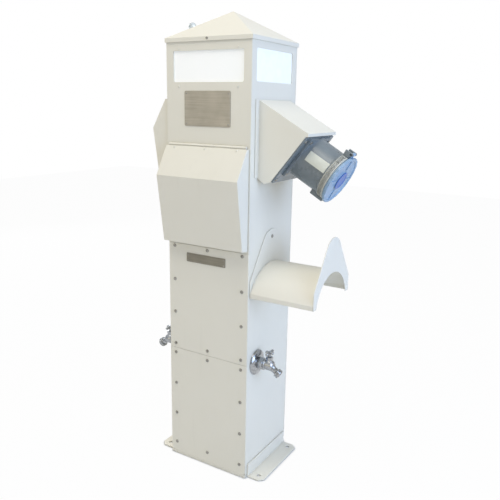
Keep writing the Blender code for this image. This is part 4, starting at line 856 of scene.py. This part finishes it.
def hexagon(radius, start, end, chamfer=0.0008):
    """A six-sided rod of the given corner radius; its ends are drawn in by a chamfer."""
    drawn_in = radius - 2 * chamfer
    return turned([(0.0, start), (drawn_in, start), (radius, start + chamfer), (radius, end - chamfer),
                   (drawn_in, end), (0.0, end)], 6)


def add_tap(side):
    """side is 1 for the right-hand tap and -1 for the left, which is the same tap turned half round. Each
    line is a list of (radius, distance) pairs, which is turned about its own axis."""
    name = "right" if side > 0 else "left"
    low, high = (np.array(corner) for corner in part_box("tap_bell_" + name))
    base = (low + high) / 2
    base[0] = low[0] - FIT_GAP if side > 0 else high[0] + FIT_GAP
    outward = np.array([side, 0.0, 0.0])
    upward = np.array([0.0, 0.0, 1.0])

    def out(points):
        """Turned about the tap's own line: local Z is outwards from the wall."""
        return placed(points, base, upward, outward)

    bell = (high[1] - low[1]) / 2
    inside = TAP_PIPE + FIT_GAP
    bell_line = softened([(inside, 0.0006), (bell - 0.0004, 0.0006), (bell, 0.0018), (bell - 0.0006, 0.0034),
                          (0.93 * bell, 0.0058), (0.82 * bell, 0.0082), (0.68 * bell, 0.0104),
                          (0.58 * bell, TAP_CUP_DEPTH - 0.0004), (0.50 * bell, TAP_CUP_DEPTH),
                          (inside, TAP_CUP_DEPTH), (inside, 0.0006)], 0.0016)
    new_piece("tap_bell_spun_" + name, [out(turned(bell_line, 48))], CHROME, "root",
              ("tap_bell_" + name,))

    barrel_line = softened([(0.0, -TAP_INLET), (TAP_PIPE, -TAP_INLET), (TAP_PIPE, TAP_HEX_TO - 0.002),
                            (TAP_BODY, TAP_HEX_TO - 0.001), (TAP_BODY, 0.0295), (TAP_BODY - 0.0012, 0.0305),
                            (TAP_BODY - 0.0012, 0.0325), (TAP_BODY, 0.0335),
                            (TAP_BODY, TAP_BODY_END - 0.0035), (TAP_BODY - 0.004, TAP_BODY_END),
                            (0.0, TAP_BODY_END)], 0.0009)
    neck, step = TAP_BONNET - 0.002, TAP_BONNET_TOP - 0.007
    bonnet_line = softened([(0.0, 0.0), (TAP_BONNET, 0.0), (TAP_BONNET, 0.0125), (neck, 0.0140),
                            (neck, step - 0.0002), (neck, step), (0.0, step)], 0.0008)
    end, groove = TAP_NOZZLE_LENGTH, TAP_NOZZLE - 0.0016
    nozzle_line = softened([
        (0.0, -0.004), (TAP_SPOUT, -0.004), (TAP_SPOUT, 0.0055), (TAP_NECK, 0.0125),
        (TAP_NECK, end - 0.0135), (TAP_NOZZLE, end - 0.0110), (TAP_NOZZLE, end - 0.0085),
        (groove, end - 0.0075), (groove, end - 0.0060),
        (TAP_NOZZLE, end - 0.0050), (TAP_NOZZLE, end - 0.0030), (TAP_NOZZLE - 0.0022, end),
        (TAP_NOZZLE_BORE, end), (TAP_NOZZLE_BORE, end - 0.014), (0.0, end - 0.014)], 0.0006)
    aim = (-math.sin(TAP_SPOUT_DROP), 0.0, math.cos(TAP_SPOUT_DROP))
    spout = placed(turned(nozzle_line, 36), (-0.002, 0.0, TAP_BODY_END - 0.009), (0.0, 1.0, 0.0), aim)
    gland = hexagon(TAP_BONNET - 0.0007, TAP_BONNET_TOP - 0.0080, TAP_BONNET_TOP)
    upright = [placed(grid, (0.0, 0.0, TAP_BONNET_OUT), (0.0, 1.0, 0.0), (1.0, 0.0, 0.0))
               for grid in (turned(bonnet_line, 36), gland)]
    lengthwise = [turned(barrel_line, 40), hexagon(TAP_HEX, TAP_HEX_FROM, TAP_HEX_TO)]
    new_piece("tap_casting_" + name, [out(grid) for grid in (*lengthwise, *upright, spout)], CHROME, "root",
              ("tap_body_" + name,))

    pivot = base + outward * TAP_BONNET_OUT
    arms = []
    for half, axis in ((TAP_BAR_HALF, 1), (TAP_CROSS_HALF, 0)):
        # Each arm swells a fifth from its middle out, and its end is a half circle.
        across = np.linspace(-half, half, TAP_BAR_ROWS)
        into_end = ((np.abs(across) - (half - TAP_BAR)) / TAP_BAR).clip(0.0, 1.0)
        end_round = np.sqrt(np.clip(1.0 - into_end ** 2, 0.02, 1.0))
        waist = TAP_BAR * (0.80 + 0.20 * (np.abs(across) / half) ** 1.5) * end_round
        arm_path = np.zeros((TAP_BAR_ROWS, 3))
        arm_path[:, axis], arm_path[:, 2] = across, TAP_HANDLE_UP
        arms.append(carried(arm_path, waist, 16) + pivot)
    stem_line = softened([(0.0, TAP_BONNET_TOP + FIT_GAP), (TAP_STEM, TAP_BONNET_TOP + FIT_GAP),
                          (TAP_STEM, TAP_HANDLE_UP - 0.0055), (TAP_STEM + 0.0010, TAP_HANDLE_UP - 0.0030),
                          (TAP_STEM + 0.0004, TAP_HANDLE_UP + 0.0040), (0.0, TAP_HANDLE_UP + 0.0044)], 0.0008)
    new_piece("tap_lever_" + name, arms + [turned(stem_line, 24) + pivot], CHROME, "tap_handle_" + name,
              ("tap_handle_" + name,))


add_tap(1)
add_tap(-1)


# ------------------------------------------------------------------ Cover hinges
# Steel butt hinges run along the top of the breaker cover and the outlet cover, coated with the post. Three
# screws through the top slope of each cover hold it to its moving leaf.
for side in ("front", "left"):
    for leaf in ("fixed_leaf", "moving_leaf"):
        merged_copy(f"{side}_hinge_{leaf}", f"coated_{side}_hinge_{leaf}", 0.0003, COAT_WHITE)

FRONT_WALL, SIDE_WALL = 0.114, 0.127
LEAF_TOP_DOWN = 0.0035
COVER_SCREW_DOWN = 0.0085
COVER_SCREW_SPREAD = 0.77
COVER_SCREW_SIZE = 0.65
COVER_TOP_OUT = 0.008
COVER_RIDGE_OUT, COVER_RIDGE_DOWN = 0.0525, 0.0775
slope = np.array([COVER_RIDGE_OUT - COVER_TOP_OUT, -COVER_RIDGE_DOWN])
slope /= np.linalg.norm(slope)
lean = np.array([-slope[1], slope[0]])
for node, side, wall, outward, sideways in (
        ("breaker_cover", "front", FRONT_WALL, (0.0, -1.0), (1.0, 0.0)),
        ("outlet_cover", "left", SIDE_WALL, (-1.0, 0.0), (0.0, 1.0))):
    low, high = (np.array(corner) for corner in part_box(node))
    outward, sideways = np.array(outward), np.array(sideways)
    half = (high - low)[:2] @ np.abs(sideways) / 2
    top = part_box(side + "_hinge_fixed_leaf")[1].z - LEAF_TOP_DOWN
    spot_out, spot_up = np.array([COVER_TOP_OUT, 0.0]) + slope * COVER_SCREW_DOWN
    centres = []
    for share in (-COVER_SCREW_SPREAD, 0.0, COVER_SCREW_SPREAD):
        flat = outward * (wall + spot_out) + sideways * share * half
        centres.append((flat[0], flat[1], top + spot_up))
    screws_on(centres, (*(outward * lean[0]), lean[1]), node + "_screws", side + "_cover", COVER_SCREW_SIZE,
              painted=True)

# ------------------------------------------------------------------ Breakers
# Two moulded-case breakers clip to a rail behind a zinc-plated steel plate; their levers show through its
# windows, and a screw holds it in each corner.
BREAKER_SCREW_IN = (0.009, 0.012)


def zinc_plate(name):
    """Zinc-plated or galvanised steel: crystals a few millimetres across, each with its own dull grey."""
    material, tree = new_material(name)
    coords = add_node(tree, "TexCoord").outputs["Object"]
    crystals = add_node(tree, "TexVoronoi", Vector=coords, Scale=140.0)
    cloud = add_node(tree, "TexNoise", Vector=coords, Scale=60.0, Detail=3.0)
    both = add_node(tree, "Mix", {"data_type": "FLOAT"}, Factor=0.5,
                    i2=add_node(tree, "SeparateColor", Color=crystals.outputs["Color"]), i3=cloud)
    tint = set_ramp(add_node(tree, "ValToRGB", Fac=both), ((0.2, "#A4A8AA"), (0.8, "#BBBFC0")))
    gloss = add_node(tree, "MapRange", Value=both, To_Min=0.32, To_Max=0.52)
    shader = add_node(tree, "BsdfPrincipled", Base_Color=tint, Metallic=0.9, Roughness=gloss)
    return finish_material(material, shader)


ZINC = zinc_plate("zinc_plated_steel")
finish_node("breaker_plate", ZINC)
finish_node("breaker_rail", ZINC)
LEVER_GREY = moulded("moulded_lever_pale_grey", "#C9C8BC", "#BDBCB0", 0.38)
for number in (1, 2):
    case = merged_copy(f"breaker_{number}", f"breaker_case_{number}", 0.0008, BLACK_PHENOLIC)
    lever = merged_copy(f"breaker_toggle_{number}", f"breaker_lever_{number}", 0.0005, LEVER_GREY)
low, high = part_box("breaker_plate")
aside, up = BREAKER_SCREW_IN
screws_on([(x, low.y, z) for x in (low.x + aside, high.x - aside) for z in (low.z + up, high.z - up)],
          (0.0, -1.0, 0.0), "breaker_plate_screws", "root")

# ------------------------------------------------------------------ Duplex outlet under the left cover
# A moulded duplex outlet faces out through a zinc-plated steel plate, with one screw between its two faces
# and one in each corner of the plate.
OUTLET_SCREW_IN = 0.008
IVORY = moulded("moulded_nylon_ivory", "#D8D5C6", "#CCC9B9", 0.35)
merged_copy("outlet_left", "duplex_outlet", 0.0004, IVORY)
finish_node("outlet_plate_left", ZINC)
low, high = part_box("outlet_plate_left")
middle_z = sum(corner.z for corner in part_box("outlet_left")) / 2
spots = [(low.x, 0.0, middle_z)] + [(low.x, y, z) for y in (low.y + OUTLET_SCREW_IN, high.y - OUTLET_SCREW_IN)
                                   for z in (low.z + OUTLET_SCREW_IN, high.z - OUTLET_SCREW_IN)]
screws_on(spots, (-1.0, 0.0, 0.0), "outlet_plate_screws", "root")

# ------------------------------------------------------------------ Floor plate, rails, riser and terminals
# Inside the foot: a galvanised floor plate with the cable opening, cross rails behind the panel seams, a
# copper riser with its tee, and a phenolic terminal block with brass screws.
TERMINALS = 5
TERMINAL_SCREW_IN = 0.014
TERMINAL_SCREW_SIZE = 1.1
for node in ("base_plate", "cross_rail_front", "cross_rail_rear"):
    finish_node(node, ZINC)
COPPER = bare_metal("drawn_copper_tube", 0.34, "#9C6246", "#B57D5E")
merged_copy("water_riser", "soldered_riser", 0.0008, COPPER)
merged_copy("terminal_block", "phenolic_terminal_block", 0.0008, BLACK_PHENOLIC)
low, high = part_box("terminal_block")
row_y = (low.y + high.y) / 2
terminals = [placed(screw_head() * TERMINAL_SCREW_SIZE, (x, row_y, high.z), (0, 1, 0), (0, 0, 1))
             for x in np.linspace(low.x + TERMINAL_SCREW_IN, high.x - TERMINAL_SCREW_IN, TERMINALS)]
new_piece("terminal_screws", terminals, BRASS, "root", sharp=25.0)

# ------------------------------------------------------------------ Lamp holder
# A glazed porcelain holder stands on the lamp tray in the head. It is white, and its glaze is glossy.
PORCELAIN = moulded("glazed_porcelain", "#E9E6DC", "#E0DDD2", 0.15, 6.0)
merged_copy("lamp_holder", "porcelain_lamp_holder", 0.0015, PORCELAIN)
